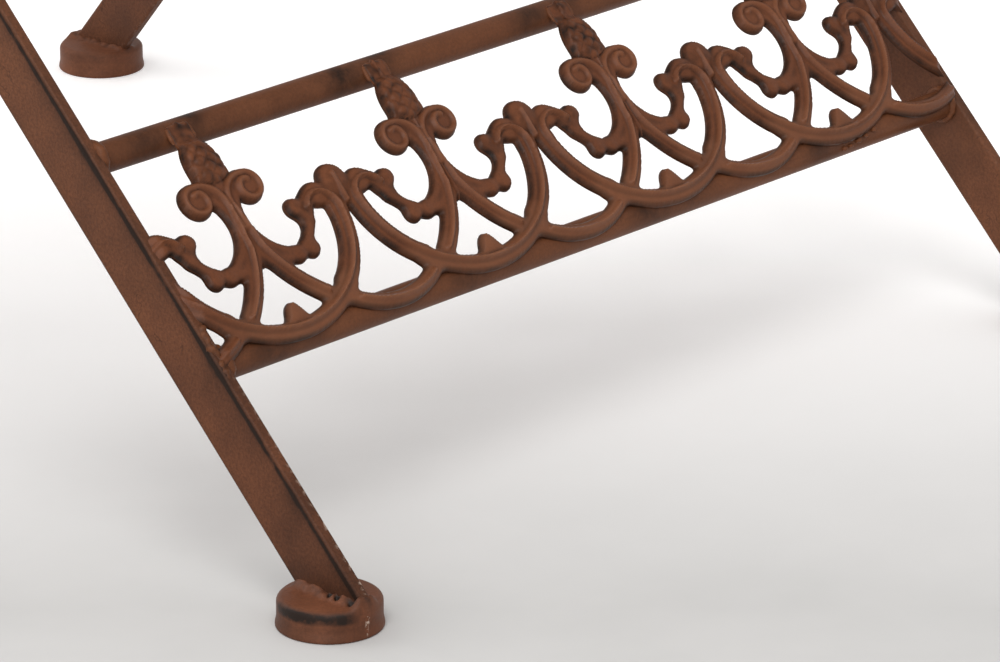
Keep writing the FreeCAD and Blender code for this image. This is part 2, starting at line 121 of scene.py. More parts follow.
BEND_CORNER = along(LEG_START, LEG_LEAN, BEND_REACH)
FOLD_PIVOT = crossing(LEG_START, LEG_LEAN, REAR_START, -REAR_LEAN)
SEAT_PIVOT = along(BEND_CORNER, BACK_LEAN, (SEAT_AXIS_Z - BEND_CORNER[1]) / math.cos(math.radians(BACK_LEAN)))
REST_REACH = (REST_ROD_Z - FOOT_HEIGHT) / math.cos(math.radians(REAR_LEAN))
REST_ROD = along(REAR_START, -REAR_LEAN, REST_REACH)
REAR_RAIL = along(REAR_START, -REAR_LEAN, REAR_RAIL_REACH)
ACROSS = np.array([1.0, 0.0, 0.0])


class Leaning:
    """A leaning frame: X across, n out of the front, s up the bars."""

    def __init__(self, start, lean):
        angle = math.radians(lean)
        self.start = np.array([0.0, start[0], start[1]])
        self.up = np.array([0.0, math.sin(angle), math.cos(angle)])
        self.front = np.array([0.0, -math.cos(angle), math.sin(angle)])

    def put(self, x, n, s):
        x, n, s = (np.asarray(value, float)[..., None] for value in (x, n, s))
        return self.start + x * ACROSS + n * self.front + s * self.up


LEG = Leaning(LEG_START, LEG_LEAN)
BACK = Leaning(BEND_CORNER, BACK_LEAN)
REAR_LEG = Leaning(REAR_START, -REAR_LEAN)
# The round rails of the main frame, each with the reach of its middle up its frame.
MAIN_RAILS = (
    ("front_lower", LEG, LOWER_RAIL_REACH),
    ("front_upper", LEG, LOWER_RAIL_REACH + FRIEZE_SPACING),
    ("back_lower", BACK, BACK_LOWER_RAIL_REACH),
    ("back_middle", BACK, BACK_FRIEZE_REACH),
    ("back_upper", BACK, BACK_FRIEZE_REACH + FRIEZE_SPACING),
)
FRIEZES = (("front", LEG, LOWER_RAIL_REACH), ("back", BACK, BACK_FRIEZE_REACH))


def falloff(distance, reach):
    """1 at no distance, falling smoothly to 0 beyond the reach."""
    return np.exp(-(distance / reach) ** 2)


def ramp(value, start, end):
    """0 on one side of start, 1 on the other side of end, and straight between."""
    return np.clip((value - start) / (end - start), 0, 1)


def eased(share):
    return share * share * (3 - 2 * share)


def unit(vectors):
    return vectors / np.linalg.norm(vectors, axis=-1, keepdims=True)


# Materials

class Graph:
    """Short calls to build a material's nodes."""

    def __init__(self, name):
        self.material = bpy.data.materials.new(name)
        self.material.use_nodes = True
        self.tree = self.material.node_tree
        self.shader = self.tree.nodes["Principled BSDF"]

    def add(self, kind, inputs, **settings):
        made = self.tree.nodes.new(kind)
        for key, value in settings.items():
            setattr(made, key, value)
        for key, value in inputs.items():
            self.feed(made.inputs[key], value)
        return made

    def feed(self, socket, value):
        if isinstance(value, bpy.types.NodeSocket):
            self.tree.links.new(value, socket)
        elif isinstance(value, bpy.types.Node):
            self.tree.links.new(value.outputs[0], socket)
        else:
            socket.default_value = value

    def math(self, operation, a, b=0.0, clamp=False):
        return self.add("ShaderNodeMath", {0: a, 1: b}, operation=operation, use_clamp=clamp)

    def noise(self, where, scale, detail=3.0, rough=0.55):
        made = self.add("ShaderNodeTexNoise", {"Vector": where, "Scale": scale, "Detail": detail, "Roughness": rough})
        return made.outputs["Fac"]

    def ramp(self, value, low, high, to_low=0.0, to_high=1.0):
        return self.add("ShaderNodeMapRange", {"Value": value, "From Min": low, "From Max": high,
                                               "To Min": to_low, "To Max": to_high}, clamp=True)

    def mix(self, share, a, b):
        made = self.add("ShaderNodeMix", {0: share, 6: a, 7: b}, data_type="RGBA")
        return made.outputs[2]

    def layer(self, name):
        return self.add("ShaderNodeAttribute", {}, attribute_name=name).outputs["Fac"]

    def surface(self, name, value):
        self.feed(self.shader.inputs[name], value)


def srgb(r, g, b):
    def linear(c):
        c /= 255.0
        return c / 12.92 if c <= 0.04045 else ((c + 0.055) / 1.055) ** 2.4
    return (linear(r), linear(g), linear(b), 1.0)


# Light brown of painted highlights and painted light; the colour of bare iron in chips.
PAINTED_LIGHT_BROWN = srgb(138, 93, 68)
BARE_IRON = srgb(178, 156, 140)
# Noise scales per metre.
CLOUD_SCALE, THREAD_SCALE, STAIN_SCALE, CHIP_SCALE, GRAIN_SCALE, SPECK_SCALE = 38.0, 75.0, 130.0, 620.0, 900.0, 2100.0
BUMP_DISTANCE = 0.0004


def painted(name, low, high, dark, roughness, grain, bump, gloss=0.15, scratch=0.0):
    """Satin brown paint, uneven in tone, with dark brushed paint and painted shade, painted highlights and painted
    light, fine specks and bare chips.
    """
    g = Graph(name)
    where = g.add("ShaderNodeTexCoord", {}).outputs["Object"]
    cloud = g.noise(where, CLOUD_SCALE, 4.0)
    fine = g.noise(where, GRAIN_SCALE, 2.0, 0.7)
    specks = g.noise(where, SPECK_SCALE, 1.0)
    stain = g.noise(where, STAIN_SCALE, 5.0, 0.65)
    tone = g.mix(g.ramp(cloud, 0.36, 0.66), low, high)
    grainy = g.math("ADD", g.layer("grainy"), 1.0)
    tone = g.mix(g.math("MULTIPLY", g.ramp(fine, 0.34, 0.70, 0.0, grain), grainy, clamp=True), tone, dark)
    tone = g.mix(g.ramp(specks, 0.70, 0.80, 0.0, 0.5), tone, dark)

    def stained(layer, *fade):
        """A layer of the mesh, made uneven by the stains."""
        return g.math("MULTIPLY", g.layer(layer), g.ramp(stain, *fade))

    # Dark paint from the mesh's layer, which on some pieces also holds painted shade, and the dark line on edges.
    shade = g.math("ADD", stained("patina_and_shade", 0.25, 0.60, 0.5, 1.3), stained("line", 0.30, 0.52, 0.6, 1.2), clamp=True)
    threads = g.math("ABSOLUTE", g.math("SUBTRACT", g.noise(where, THREAD_SCALE, 3.0), 0.5))
    scratched = g.math("MULTIPLY", g.ramp(threads, 0.003, 0.010, scratch, 0.0), g.ramp(cloud, 0.54, 0.60))
    tone = g.mix(g.math("MAXIMUM", shade, scratched), tone, dark)
    # Painted highlights and painted light from the mesh's layer, made uneven by the stains.
    tone = g.mix(stained("painted_light", 0.30, 0.60, 0.55, 1.0), tone, PAINTED_LIGHT_BROWN)
    worn = g.layer("worn")
    chips = g.math("MULTIPLY", worn, g.ramp(g.noise(where, CHIP_SCALE, 2.0, 0.6), 0.54, 0.62))
    tone = g.mix(g.math("MAXIMUM", chips, g.ramp(worn, 1.35, 1.9, 0.0, 0.7), clamp=True), tone, BARE_IRON)
    g.surface("Base Color", tone)
    g.surface("Roughness", g.ramp(cloud, 0.3, 0.7, roughness - 0.06, roughness + 0.08))
    g.surface("Specular IOR Level", gloss)
    rough = g.math("ADD", g.math("MULTIPLY", fine, 0.6), g.math("MULTIPLY", stain, 0.8))
    g.surface("Normal", g.add("ShaderNodeBump", {"Strength": bump, "Distance": BUMP_DISTANCE, "Height": rough}))
    return g.material


DARK = srgb(32, 19, 12)
# Finishes: a paint and the slot that it belongs to.
IRON = (painted("painted_iron_paint", srgb(88, 52, 34), srgb(106, 64, 42), DARK,
                roughness=0.55, grain=0.40, bump=0.45, scratch=0.5), "painted_iron")
ROD = (painted("painted_rod_paint", srgb(99, 58, 35), srgb(113, 68, 43), DARK,
               roughness=0.48, grain=0.25, bump=0.3, scratch=0.3), "painted_iron")
CASTING = (painted("painted_casting_paint", srgb(99, 56, 34), srgb(112, 65, 40), DARK,
                   roughness=0.42, grain=0.20, bump=0.25, gloss=0.16), "painted_casting")
FOOT = (painted("painted_foot_paint", srgb(108, 64, 43), srgb(121, 74, 51), srgb(35, 25, 20),
                roughness=0.50, grain=0.25, bump=0.3), "painted_foot")
RIVET = (painted("painted_rivet_paint", srgb(94, 59, 41), srgb(109, 70, 49), DARK,
                 roughness=0.52, grain=0.3, bump=0.3), "painted_rivet")


# Mesh helpers

def wobble(points, scale, seed):
    """Smooth noise from -1 to 1 at points in millimetres."""
    shift = Vector((seed * 7.31, seed * 3.17, seed * 5.53))
    return np.array([noise.noise(Vector(p) * scale + shift) for p in np.reshape(points, (-1, 3))])


def mottled(points, base, amount, scale, seed):
    """Uneven dark paint, from 0 to 1 at each point."""
    return np.clip(base + amount * wobble(points, scale, seed), 0, 1)


def new_object(name, data):
    made = bpy.data.objects.new(name, data)
    bpy.context.scene.collection.objects.link(made)
    return made


def new_piece(name, points, faces, finish, body, replaced, layers, sharp=40.0):
    material, slot = finish
    mesh = bpy.data.meshes.new(name)
    mesh.from_pydata((np.asarray(points) * MM).tolist(), [], faces)
    mesh.update()
    mesh.shade_smooth()
    mesh.set_sharp_from_angle(angle=math.radians(sharp))
    for layer, values in layers.items():
        attribute = mesh.attributes.new(layer, "FLOAT", "POINT")
        attribute.data.foreach_set("value", np.asarray(values, np.float32))
    mesh.materials.append(material)
    piece = new_object(name, mesh)
    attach(piece, body)
    if replaced:
        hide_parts(*replaced)


def ring_faces(rings, around, closed=False):
    """Quads between rings of points, with a flat cap at each open end."""
    index = np.arange(rings * around).reshape(rings, around)
    here, ahead = (index, np.roll(index, -1, 0)) if closed else (index[:-1], index[1:])
    quads = np.stack([here, np.roll(here, -1, 1), np.roll(ahead, -1, 1), ahead], -1).reshape(-1, 4)
    return quads.tolist() + ([] if closed else [index[0, ::-1].tolist(), index[-1].tolist()])


def ringed_piece(name, rings, finish, body, replaced, layers, sharp=40.0, closed=False):
    """A piece whose points are rings, one after the other."""
    faces = ring_faces(*rings.shape[:2], closed)
    new_piece(name, rings.reshape(-1, 3), faces, finish, body, [replaced], layers, sharp)


# Distances of a section's loops from its rounded corners.
CORNER_LOOPS = (0.5, 1.0, 1.6, 2.4, 3.6, 5.5)


def rounded_section(half_a, half_b, radius):
    """A rounded rectangle with loops close to its corners."""
    corners = []
    for quarter, (sa, sb) in enumerate(((1, 1), (-1, 1), (-1, -1), (1, -1))):
        angles = np.radians(90 * quarter + np.linspace(0, 90, 5))
        corners.append(np.stack([sa * (half_a - radius) + radius * np.cos(angles),
                                 sb * (half_b - radius) + radius * np.sin(angles)], 1))
    points = []
    for here, ahead in zip(corners, corners[1:] + corners[:1]):
        points += list(here)
        length = np.linalg.norm(ahead[0] - here[-1])
        steps = [d for d in CORNER_LOOPS if 2 * d < length]
        for d in steps + [length - d for d in reversed(steps)]:
            points.append(here[-1] + (ahead[0] - here[-1]) * d / length)
    return np.array(points)


def near_corner(section, corner, reach):
    """1 on one corner of a section, falling to 0 away from it."""
    return falloff(np.hypot(section[:, 0] - corner[0], section[:, 1] - corner[1]), reach)


def swept(origins, axes_a, axis_b, section, squeeze=1.0):
    """Rings of a section carried along a path. squeeze scales the section's first axis, ring by ring."""
    part_a = section[:, :1] * np.reshape(squeeze, (-1, 1, 1)) * axes_a[:, None, :]
    return origins[:, None, :] + part_a + section[:, 1:] * axis_b


def circle(axis_a, axis_b, around):
    """Unit vectors around the plane of two axes, or around each plane of two lists of axes."""
    angles = np.linspace(0, 2 * math.pi, around, endpoint=False)[:, None]
    return np.cos(angles) * axis_a[..., None, :] + np.sin(angles) * axis_b[..., None, :]


def turned(profile, origin, axis, side_axis, around):
    """Rings of a profile of (distance along the axis, radius) turned about an axis."""
    axis, axis_a = np.asarray(axis, float), np.asarray(side_axis, float)
    distance, radius = np.asarray(profile, float).T[:, :, None, None]
    return np.asarray(origin, float) + distance * axis + radius * circle(axis_a, np.cross(axis, axis_a), around)


def stations(start, end, step):
    return list(np.linspace(start, end, max(2, int(round((end - start) / step)) + 1)))


# Bars of flat iron

# How much broader the legs are than the CAD model's bars: the front ones up to the bend, and the rear ones.
LEG_BREADTH, REAR_BREADTH = 1.09, 1.05
# Shares of the bend's height between which the front legs narrow to the bar.
LEG_NARROWS = (0.7, 0.9)
FIRST_STATION = 17.0
LEG_STEP, BAR_STEP, SEAT_STEP, SLAT_STEP = 3.5, 7.0, 8.0, 9.0
FOOT_SINK, TOE_LEVEL, TOE_REACH = 0.5, 2.6, 15.7
ROUND_END = np.radians((15, 30, 45, 60, 72, 82))
BAR_SECTION = rounded_section(BAR_WIDTH / 2, BAR_THICKNESS / 2, BAR_ROUND)
# Paint of the left and right side rail: brushed shade, wear, grain, and the painted light low down and higher up,
# which lifts the rail where it lies in shade.
SIDE_PAINT = ((0.06, 1.3, 0.35, 0.0, 0.15), (0.0, 0.1, 0.0, 0.09, 0.09))
# Plain brushed paint of the other bars: base, amount and scale.
BAR_MOTTLE = (0.10, 0.22, 0.03)


def side_path():
    """Middle line of a side rail as (y, z) points with the lean at each."""
    tangent = BEND_RADIUS * math.tan(math.radians(LEG_LEAN - BACK_LEAN) / 2)
    straight = [0.0, 0.0] + stations(FIRST_STATION, BEND_REACH - tangent, LEG_STEP)
    path = [(along(LEG_START, LEG_LEAN, s), LEG_LEAN) for s in straight]
    centre = along(path[-1][0], LEG_LEAN - 90, BEND_RADIUS)
    for lean in np.linspace(LEG_LEAN, BACK_LEAN, 13)[1:-1]:
        path.append((along(centre, lean + 90, BEND_RADIUS), lean))
    return path + [(along(BEND_CORNER, BACK_LEAN, s), BACK_LEAN) for s in stations(tangent, POST_REACH, BAR_STEP)]


def stand_on_foot(rings, up, foot_y):
    """Moves the two lowest rings of a sweep along the bar until they are level, and blunts the toe."""
    for ring, level in zip(rings, (FOOT_HEIGHT - FOOT_SINK, FOOT_HEIGHT + TOE_LEVEL)):
        ring += (level - ring[:, 2:]) / up[2] * up
    rings[0, :, 1] = np.clip(rings[0, :, 1], foot_y - TOE_REACH, foot_y + TOE_REACH)


def bar_in_side_view(path, x_middle, section, squeeze=1.0):
    """Rings of a bar along (y, z) points with the lean at each."""
    origins = np.array([(x_middle, y, z) for (y, z), _ in path])
    angles = np.radians([lean for _, lean in path])
    fronts = np.stack([np.zeros_like(angles), -np.cos(angles), np.sin(angles)], 1)
    return swept(origins, fronts, ACROSS, section, squeeze)


def edge_layers(section, rings, outer, wear):
    """Dark shading on the outer front corner of a bar and wear on its inner front corner."""
    half_a, half_b = section[:, 0].max(), section[:, 1].max()
    line = 1.3 * near_corner(section, (half_a - 1.5, outer * half_b), 0.8)
    line += 0.2 * near_corner(section, (half_a - 2.8, outer * half_b), 2.4)
    line += 0.35 * near_corner(section, (-half_a, outer * half_b), 1.2)
    worn = wear * near_corner(section, (half_a, -outer * half_b), 1.1)
    return {"line": np.tile(line, rings), "worn": np.tile(worn, rings)}


def rail_place(where, reach):
    return where.put(0.0, RAIL_FORWARD, reach)


def make_side_rails():
    path = side_path()
    heights = np.array([z for (_, z), _ in path]) / BEND_CORNER[1]
    breadth = LEG_BREADTH + (1 - LEG_BREADTH) * eased(ramp(heights, *LEG_NARROWS))
    for (name, side), (shaded, wear, grain, painted_light_low, painted_light_high) in zip(SIDES, SIDE_PAINT):
        rings = bar_in_side_view(path, side * (HALF_WIDTH - BAR_THICKNESS / 2), BAR_SECTION, breadth)
        stand_on_foot(rings, LEG.up, -FOOT_Y)
        flat = rings.reshape(-1, 3)
        above_foot = flat[:, 2] - FOOT_HEIGHT
        low = falloff(above_foot, 60.0)
        upper = ramp(above_foot, 50.0, 170.0)
        dirty = 0.2 + 0.8 * wobble(flat, 0.4, 7 + side)
        # Higher up, the left rail's brushed shade is taken off, as painted light where the rail lies in shade.
        patina_and_shade = shaded * (1 - 1.5 * upper) + 0.34 * wobble(flat, 0.03, 3 + side) + 0.2 * wobble(flat, 0.12, 5 + side)
        patina_and_shade += 0.4 * falloff(above_foot - 4.0, 4.5)
        jointed = np.zeros(len(flat))
        for _, where, reach in MAIN_RAILS:
            joint = rail_place(where, reach) + side * BAR_INSIDE * ACROSS + RAIL_RADIUS * where.front
            away = np.linalg.norm(flat - joint, axis=1)
            patina_and_shade += dirty * falloff(away, 9.0)
            jointed = np.maximum(jointed, falloff(away, 22.0))
        uneven = 0.35 * wobble(flat, 0.07, 6 + side) + 0.4 * wobble(flat, 0.25, 8 + side)
        layers = edge_layers(BAR_SECTION, len(path), side, wear)
        layers["line"] *= 0.9 + uneven + 0.5 * jointed - 0.15 * low
        layers["worn"] *= low
        layers["patina_and_shade"] = np.clip(patina_and_shade, 0, 1)
        layers["grainy"] = grain * upper
        # Painted light, mixing towards a light brown where the rails lie in shade: the left one higher up, the right
        # one all along, and never on the dark line.
        painted_light = painted_light_low + (painted_light_high - painted_light_low) * upper
        layers["painted_light"] = painted_light * (1 - np.clip(layers["line"], 0, 1))
        ringed_piece(f"side_bar_{name}", rings, IRON, MAIN, f"side_rail_{name}", layers)


def make_rear_legs():
    reach = [0.0, 0.0] + stations(FIRST_STATION, REST_REACH, BAR_STEP)
    squeeze = np.concatenate([np.ones(len(reach)), np.cos(ROUND_END)]) * REAR_BREADTH
    reach += list(REST_REACH + BAR_WIDTH / 2 * np.sin(ROUND_END))
    path = [(along(REAR_START, -REAR_LEAN, s), -REAR_LEAN) for s in reach]
    for name, side in SIDES:
        rings = bar_in_side_view(path, side * (REAR_OUTSIDE - BAR_THICKNESS / 2), BAR_SECTION, squeeze)
        stand_on_foot(rings, REAR_LEG.up, FOOT_Y)
        layers = edge_layers(BAR_SECTION, len(path), side, 0.1)
        layers["patina_and_shade"] = mottled(rings, *BAR_MOTTLE, 9 + side)
        ringed_piece(f"rear_bar_{name}", rings, IRON, REAR, f"rear_leg_{name}", layers)


def arch_line():
    """Outer line of the arched top rail as rows of (x, s, outward angle from X)."""
    slope = math.radians(ARCH_SLOPE)
    centre_x = HALF_WIDTH - ARCH_CORNER
    crown_radius = centre_x / math.sin(slope) + ARCH_CORNER
    crown_s = POST_REACH - centre_x / math.tan(slope)
    top = math.pi / 2 - slope
    line = []
    for x, s, radius, angles in (
        (centre_x, POST_REACH, ARCH_CORNER, np.linspace(0, top, 16)),
        (0.0, crown_s, crown_radius, np.linspace(top, math.pi - top, 31)[1:-1]),
        (-centre_x, POST_REACH, ARCH_CORNER, np.linspace(math.pi - top, math.pi, 16)),
    ):
        line.append(np.stack([x + radius * np.cos(angles), s + radius * np.sin(angles), angles], 1))
    return np.concatenate(line)


def make_top_rail():
    half_a, half_b = BAR_THICKNESS / 2, BAR_WIDTH / 2
    section = rounded_section(half_a, half_b, BAR_ROUND)
    x, s, angles = arch_line().T
    outward = np.cos(angles)[:, None] * ACROSS + np.sin(angles)[:, None] * BACK.up
    rings = swept(BACK.put(x, 0.0, s) - outward * half_a, outward, -BACK.front, section)
    layers = {"line": np.tile(near_corner(section, (half_a, -half_b), 1.25), len(rings)),
              "patina_and_shade": mottled(rings, *BAR_MOTTLE, 17)}
    ringed_piece("top_bar", rings, IRON, MAIN, "back_top_rail", layers)


# Round bars

ROD_STEP, ROD_AROUND = 5.0, 32
# The spindles end inside the rails, this far from a rail's middle.
SPINDLE_INSET = 0.8 * RAIL_RADIUS
# Dark smears on the rails beside each motif of the frieze: shift along the rail, lift and strength.
RAIL_SMEARS = ((7.0, 0.7, 0.75), (-11.0, 0.0, 0.55), (-19.0, 0.0, 0.45))
SMEAR_REACH, END_SMEAR_REACH, END_SMEAR = 6.5, 8.0, 0.12


def make_rod(name, start, end, radius, side_axis, body, replaced, smears=()):
    """A round bar. smears are (point, reach, strength) of dark brushed paint."""
    start, end = np.asarray(start, float), np.asarray(end, float)
    length = np.linalg.norm(end - start)
    profile = [(d, radius) for d in np.linspace(0, length, max(3, int(length / ROD_STEP)))]
    rings = turned(profile, start, (end - start) / length, side_axis, ROD_AROUND)
    patina_and_shade = mottled(rings, 0.06, 0.20, 0.035, len(name))
    for place, reach, strength in smears:
        patina_and_shade += strength * falloff(np.linalg.norm(rings.reshape(-1, 3) - place, axis=1), reach)
    ringed_piece(name, rings, ROD, body, replaced, {"patina_and_shade": patina_and_shade})


def cross_rod(name, half_length, y, z, radius, body, replaced, smears=()):
    make_rod(name, (-half_length, y, z), (half_length, y, z), radius, (0, 0, 1), body, replaced, smears)


def make_rods():
    for word, where, reach in MAIN_RAILS:
        middle = rail_place(where, reach)
        smears = [(middle + x * ACROSS, END_SMEAR_REACH, END_SMEAR) for x in (-BAR_INSIDE, BAR_INSIDE)]
        for x in MOTIF_AXES:
            for shift, lift, strength in RAIL_SMEARS:
                spot = middle + (x + shift) * ACROSS + (0.7 * where.front + lift * where.up) * RAIL_RADIUS
                smears.append((spot, SMEAR_REACH, strength))
        cross_rod(f"{word}_rod", BAR_INSIDE, middle[1], middle[2], RAIL_RADIUS, MAIN, f"{word}_rail", smears)
    cross_rod("rear_rod", REAR_INSIDE, *REAR_RAIL, RAIL_RADIUS, REAR, "rear_rail")
    cross_rod("rest_rod", REAR_INSIDE, *REST_ROD, RAIL_RADIUS, REAR, "seat_rest_rod")
    low, high = BACK_LOWER_RAIL_REACH + SPINDLE_INSET, BACK_FRIEZE_REACH - SPINDLE_INSET
    for number, x in enumerate(SPINDLE_X, 1):
        make_rod(f"spindle_{number}", BACK.put(x, RAIL_FORWARD, low), BACK.put(x, RAIL_FORWARD, high),
                 SPINDLE_RADIUS, ACROSS, MAIN, f"back_spindle_{number}")


# The cast frieze, drawn as a relief: u along the rails, v above the middle of the lower rail. A place is u + vj.

PERIOD = 96.8
FIRST_AXIS = 41.8 - HALF_WIDTH
MOTIF_AXES = [FIRST_AXIS + PERIOD * index for index in range(4)]
MOTIF_REACH = PERIOD / 2 + 26.0
GRID = 0.5
V_LOW, V_HIGH = -5.0, 86.5


def walk(start, heading, moves):
    """Stretches of a strand, from moves of (length,) straight on or (radius, turn to the left)."""
    first, angle, found = complex(*start), math.radians(heading), []
    for size, *turns in moves:
        turn = math.radians(sum(turns))
        if turn:
            middle = first + cmath.rect(size, angle + math.copysign(math.pi / 2, turn))
            last = middle + (first - middle) * cmath.rect(1, turn)
        else:
            middle = last = first + cmath.rect(size, angle)
        found.append((first, middle, last, turn))
        first, angle = last, angle + turn
    return found


def to_stretch(place, stretch):
    """Distance from places to one stretch: straight from first to last, or a turn about its middle."""
    first, middle, last, turn = stretch
    if not turn:
        share = np.clip(((place - first) / (last - first)).real, 0, 1)
        return np.abs(place - first - share * (last - first))
    passed = np.mod(np.angle((place - middle) / (first - middle)) * math.copysign(1, turn), 2 * math.pi)
    off = np.abs(np.abs(place - middle) - abs(first - middle))
    return np.where(passed <= abs(turn), off, np.minimum(np.abs(place - first), np.abs(place - last)))


def to_strand(place, strand):
    return np.min([to_stretch(place, stretch) for stretch in strand], axis=0)


def beside(stretch, offset):
    """A curved stretch about the same middle, further out."""
    first, middle, last, turn = stretch
    grow = 1 + offset / abs(first - middle)
    return (middle + grow * (first - middle), middle, middle + grow * (last - middle), turn)


# Half of a motif: from the trunk down the scroll arm, over the hook, down the outer arm and along the base.
HALF_MOTIF = walk((0.0, 30.8), -47.5, [(17.05, 114.4), (4.7,), (7.03, -162.6), (36.5, -47.7), (48.67, -36.6)])
OUTER_RIDGE = HALF_MOTIF[2:]
BASE = [beside(HALF_MOTIF[4], 1.9)]
FLARE = walk((5.0, 52.7), -123, [(17.06, 108)])
STEM_LINE = walk((0.44, 32.3), 90, [(16.7,), (9.55, -90)])
LEG_LINE = walk((2.7, 32.0), -71.3, [(48.8, 32.7)])
LINK = walk((PERIOD / 2 - 24.2, 7.45), -38.8, [(38.6, 77.6)])
LINK_RIDGE = walk((PERIOD / 2 - 18.1, 3.45), -28, [(38.6, 56)])
SEAM = walk((PERIOD / 2, 37.8), 90, [(11.0,)])
LEG_RIDGE = walk((0.9, 49.0), -84, [(17.1,)]) + LEG_LINE
VOLUTE_RIDGE = walk((0.9, 40.0), 90, [(10.2,), (9.1, -90), (2.2,), (5.0, -180), (4.1, -130), (2.6, -90)])
# Strands of a half motif, each with half its width.
STRANDS = (
    (HALF_MOTIF[:1], 2.5),
    (HALF_MOTIF[1:2], 2.9),
    (HALF_MOTIF[2:3], 3.26),
    (HALF_MOTIF[3:4], 4.17),
    (HALF_MOTIF[4:], 2.75),
    (BASE, 2.5),
    (FLARE, 2.27),
    (STEM_LINE, 2.05),
    (LEG_LINE, 3.64),
    (LINK, 3.1),
    (SEAM, 0.95),
)
# Ridges along strands, each with its rise and half-breadth.
RIDGES = (
    (OUTER_RIDGE, 2.1, 0.9),
    (LEG_RIDGE, 1.7, 0.85),
    (LINK_RIDGE, 1.7, 0.9),
    (VOLUTE_RIDGE, 1.3, 1.15),
    (SEAM, 1.8, 0.8),
)
# Round lobes as (u, v, radius, rise).
LOBES = (
    (12.16, 54.4, 6.73, 0.25),
    (37.86, 43.7, 4.88, 0.7),
    (25.8, 41.4, 3.89, 0.6),
    (27.8, 38.8, 3.0, 0.2),
    (23.2, 26.0, 3.68, 0.3),
    (16.7, 25.3, 2.88, 0.25),
    (PERIOD / 2, 46.6, 6.6, 0.8),
    (0.0, 56.2, 4.95, 0.4),
)
LEAF_LOW, LEAF_HIGH, LEAF_HALF_WIDTH, LEAF_RISE = 1.0, 10.2, 6.2, 1.0
BUD_LOW, BUD_HIGH, BUD_HALF_WIDTH, BUD_RISE, BUD_STEM = 58.3, 75.0, 7.7, 2.2, 3.0
SCALE_TURN, SCALE_RISE, SCALE_DEPTH = 0.8, 5.6, 0.75
TAB_HALF_WIDTH, TAB_TOP = 5.2, 83.4
# Spots of painted shade, made mottled: in the hook's curl, whose groove is not modelled, and beside the knob, as (u,
# v, reach).
PAINTED_SHADE_SPOTS = ((28.6, 39.6, 5.5), (PERIOD / 2 - 2.5, 45.0, 4.0))
RIM_HEIGHT, FACE_HEIGHT, FLANK, SWELL = 0.4, 2.4, 0.9, 0.4
# The last is how far from the ends the painted highlights fade out.
END_REACH, END_FADE, PAINTED_LIGHT_FADE = HALF_WIDTH - 0.9, 4.5, 25.0
# A distance outside every strand, and how widely strands run into each other.
FAR, BLEND = 30.0, 2.4


def dome(d, radius):
    return np.sqrt(np.clip(1 - (d / radius) ** 2, 0, 1))


def smooth_min(a, b):
    h = np.maximum(BLEND - np.abs(a - b), 0) / BLEND
    return np.minimum(a, b) - h * h * BLEND / 4


def bud(u, v):
    """How far a point lies outside the cone bud and its tab, the bud's rise there, and how dark it is."""
    t = ramp(v, BUD_LOW, BUD_HIGH)
    width = BUD_HALF_WIDTH * np.sqrt(1 - np.clip((t - 0.4) / 0.75, 0, 1) ** 2)
    width = np.minimum(width, BUD_HALF_WIDTH * np.sqrt(np.clip(t / 0.14, 0.0004, 1)))
    off = np.abs(u)
    across = np.clip(off / width, 0, 1)
    around = np.arcsin(across) * np.sign(u) / SCALE_TURN
    rows = np.abs(np.sin(math.pi * (around + v / SCALE_RISE)) * np.sin(math.pi * (around - v / SCALE_RISE)))
    pits = np.clip(1 - 1.25 * rows, 0, 1) ** 1.4
    within = (v > BUD_LOW) & (v < BUD_HIGH) & (off < width)
    beyond = np.where(v > BUD_HIGH, 9.0, 0.95 * (off - width))
    outside = np.where(v < BUD_LOW, np.maximum(off - BUD_STEM, BUD_LOW - v), beyond)
    tab = np.maximum(np.maximum(off - TAB_HALF_WIDTH, v - TAB_TOP), BUD_HIGH - 3.0 - v)
    swell = dome(across, 1.0) * np.sin(math.pi * (0.12 + 0.83 * t)) ** 0.6
    rise = np.where(within, (BUD_RISE - SCALE_DEPTH * pits) * swell, 0)
    return np.minimum(outside, tab), rise, np.where(within, 0.45 * pits * swell + 0.32, 0)


def half_motif(u, v):
    """Distance outside one half of a motif, its rise, its painted highlights on ridges, its spots of painted shade
    and the bud's dark.
    """
    place = u + 1j * v
    edge, rise, painted_light, painted_shade = FAR, 0.0, 0.0, 0.0
    for strand, half_width in STRANDS:
        edge = smooth_min(edge, to_strand(place, strand) - half_width)
    for x, y, radius, height in LOBES:
        d = np.abs(place - complex(x, y))
        edge = smooth_min(edge, d - radius)
        rise = np.maximum(rise, height * dome(d, radius) ** 3)
    width = LEAF_HALF_WIDTH * np.sqrt(np.clip((LEAF_HIGH - v) / (LEAF_HIGH - LEAF_LOW), 0.001, 1))
    edge = smooth_min(edge, np.maximum(0.8 * (np.abs(u) - width), LEAF_LOW - v))
    rise = np.maximum(rise, LEAF_RISE * dome(u, width) * ramp(v, LEAF_LOW, LEAF_LOW + 4.0))
    for strand, height, breadth in RIDGES:
        ridge = falloff(to_strand(place, strand), breadth)
        rise = np.maximum(rise, height * ridge)
        # Painted highlight along each ridge.
        painted_light = np.maximum(painted_light, ridge * ridge)
    # Spots of painted shade.
    for x, y, reach in PAINTED_SHADE_SPOTS:
        painted_shade = np.maximum(painted_shade, falloff(np.abs(place - complex(x, y)), reach))
    outside, swell, dark = bud(u, v)
    return smooth_min(edge, outside), np.maximum(rise, swell), painted_light, painted_shade, dark


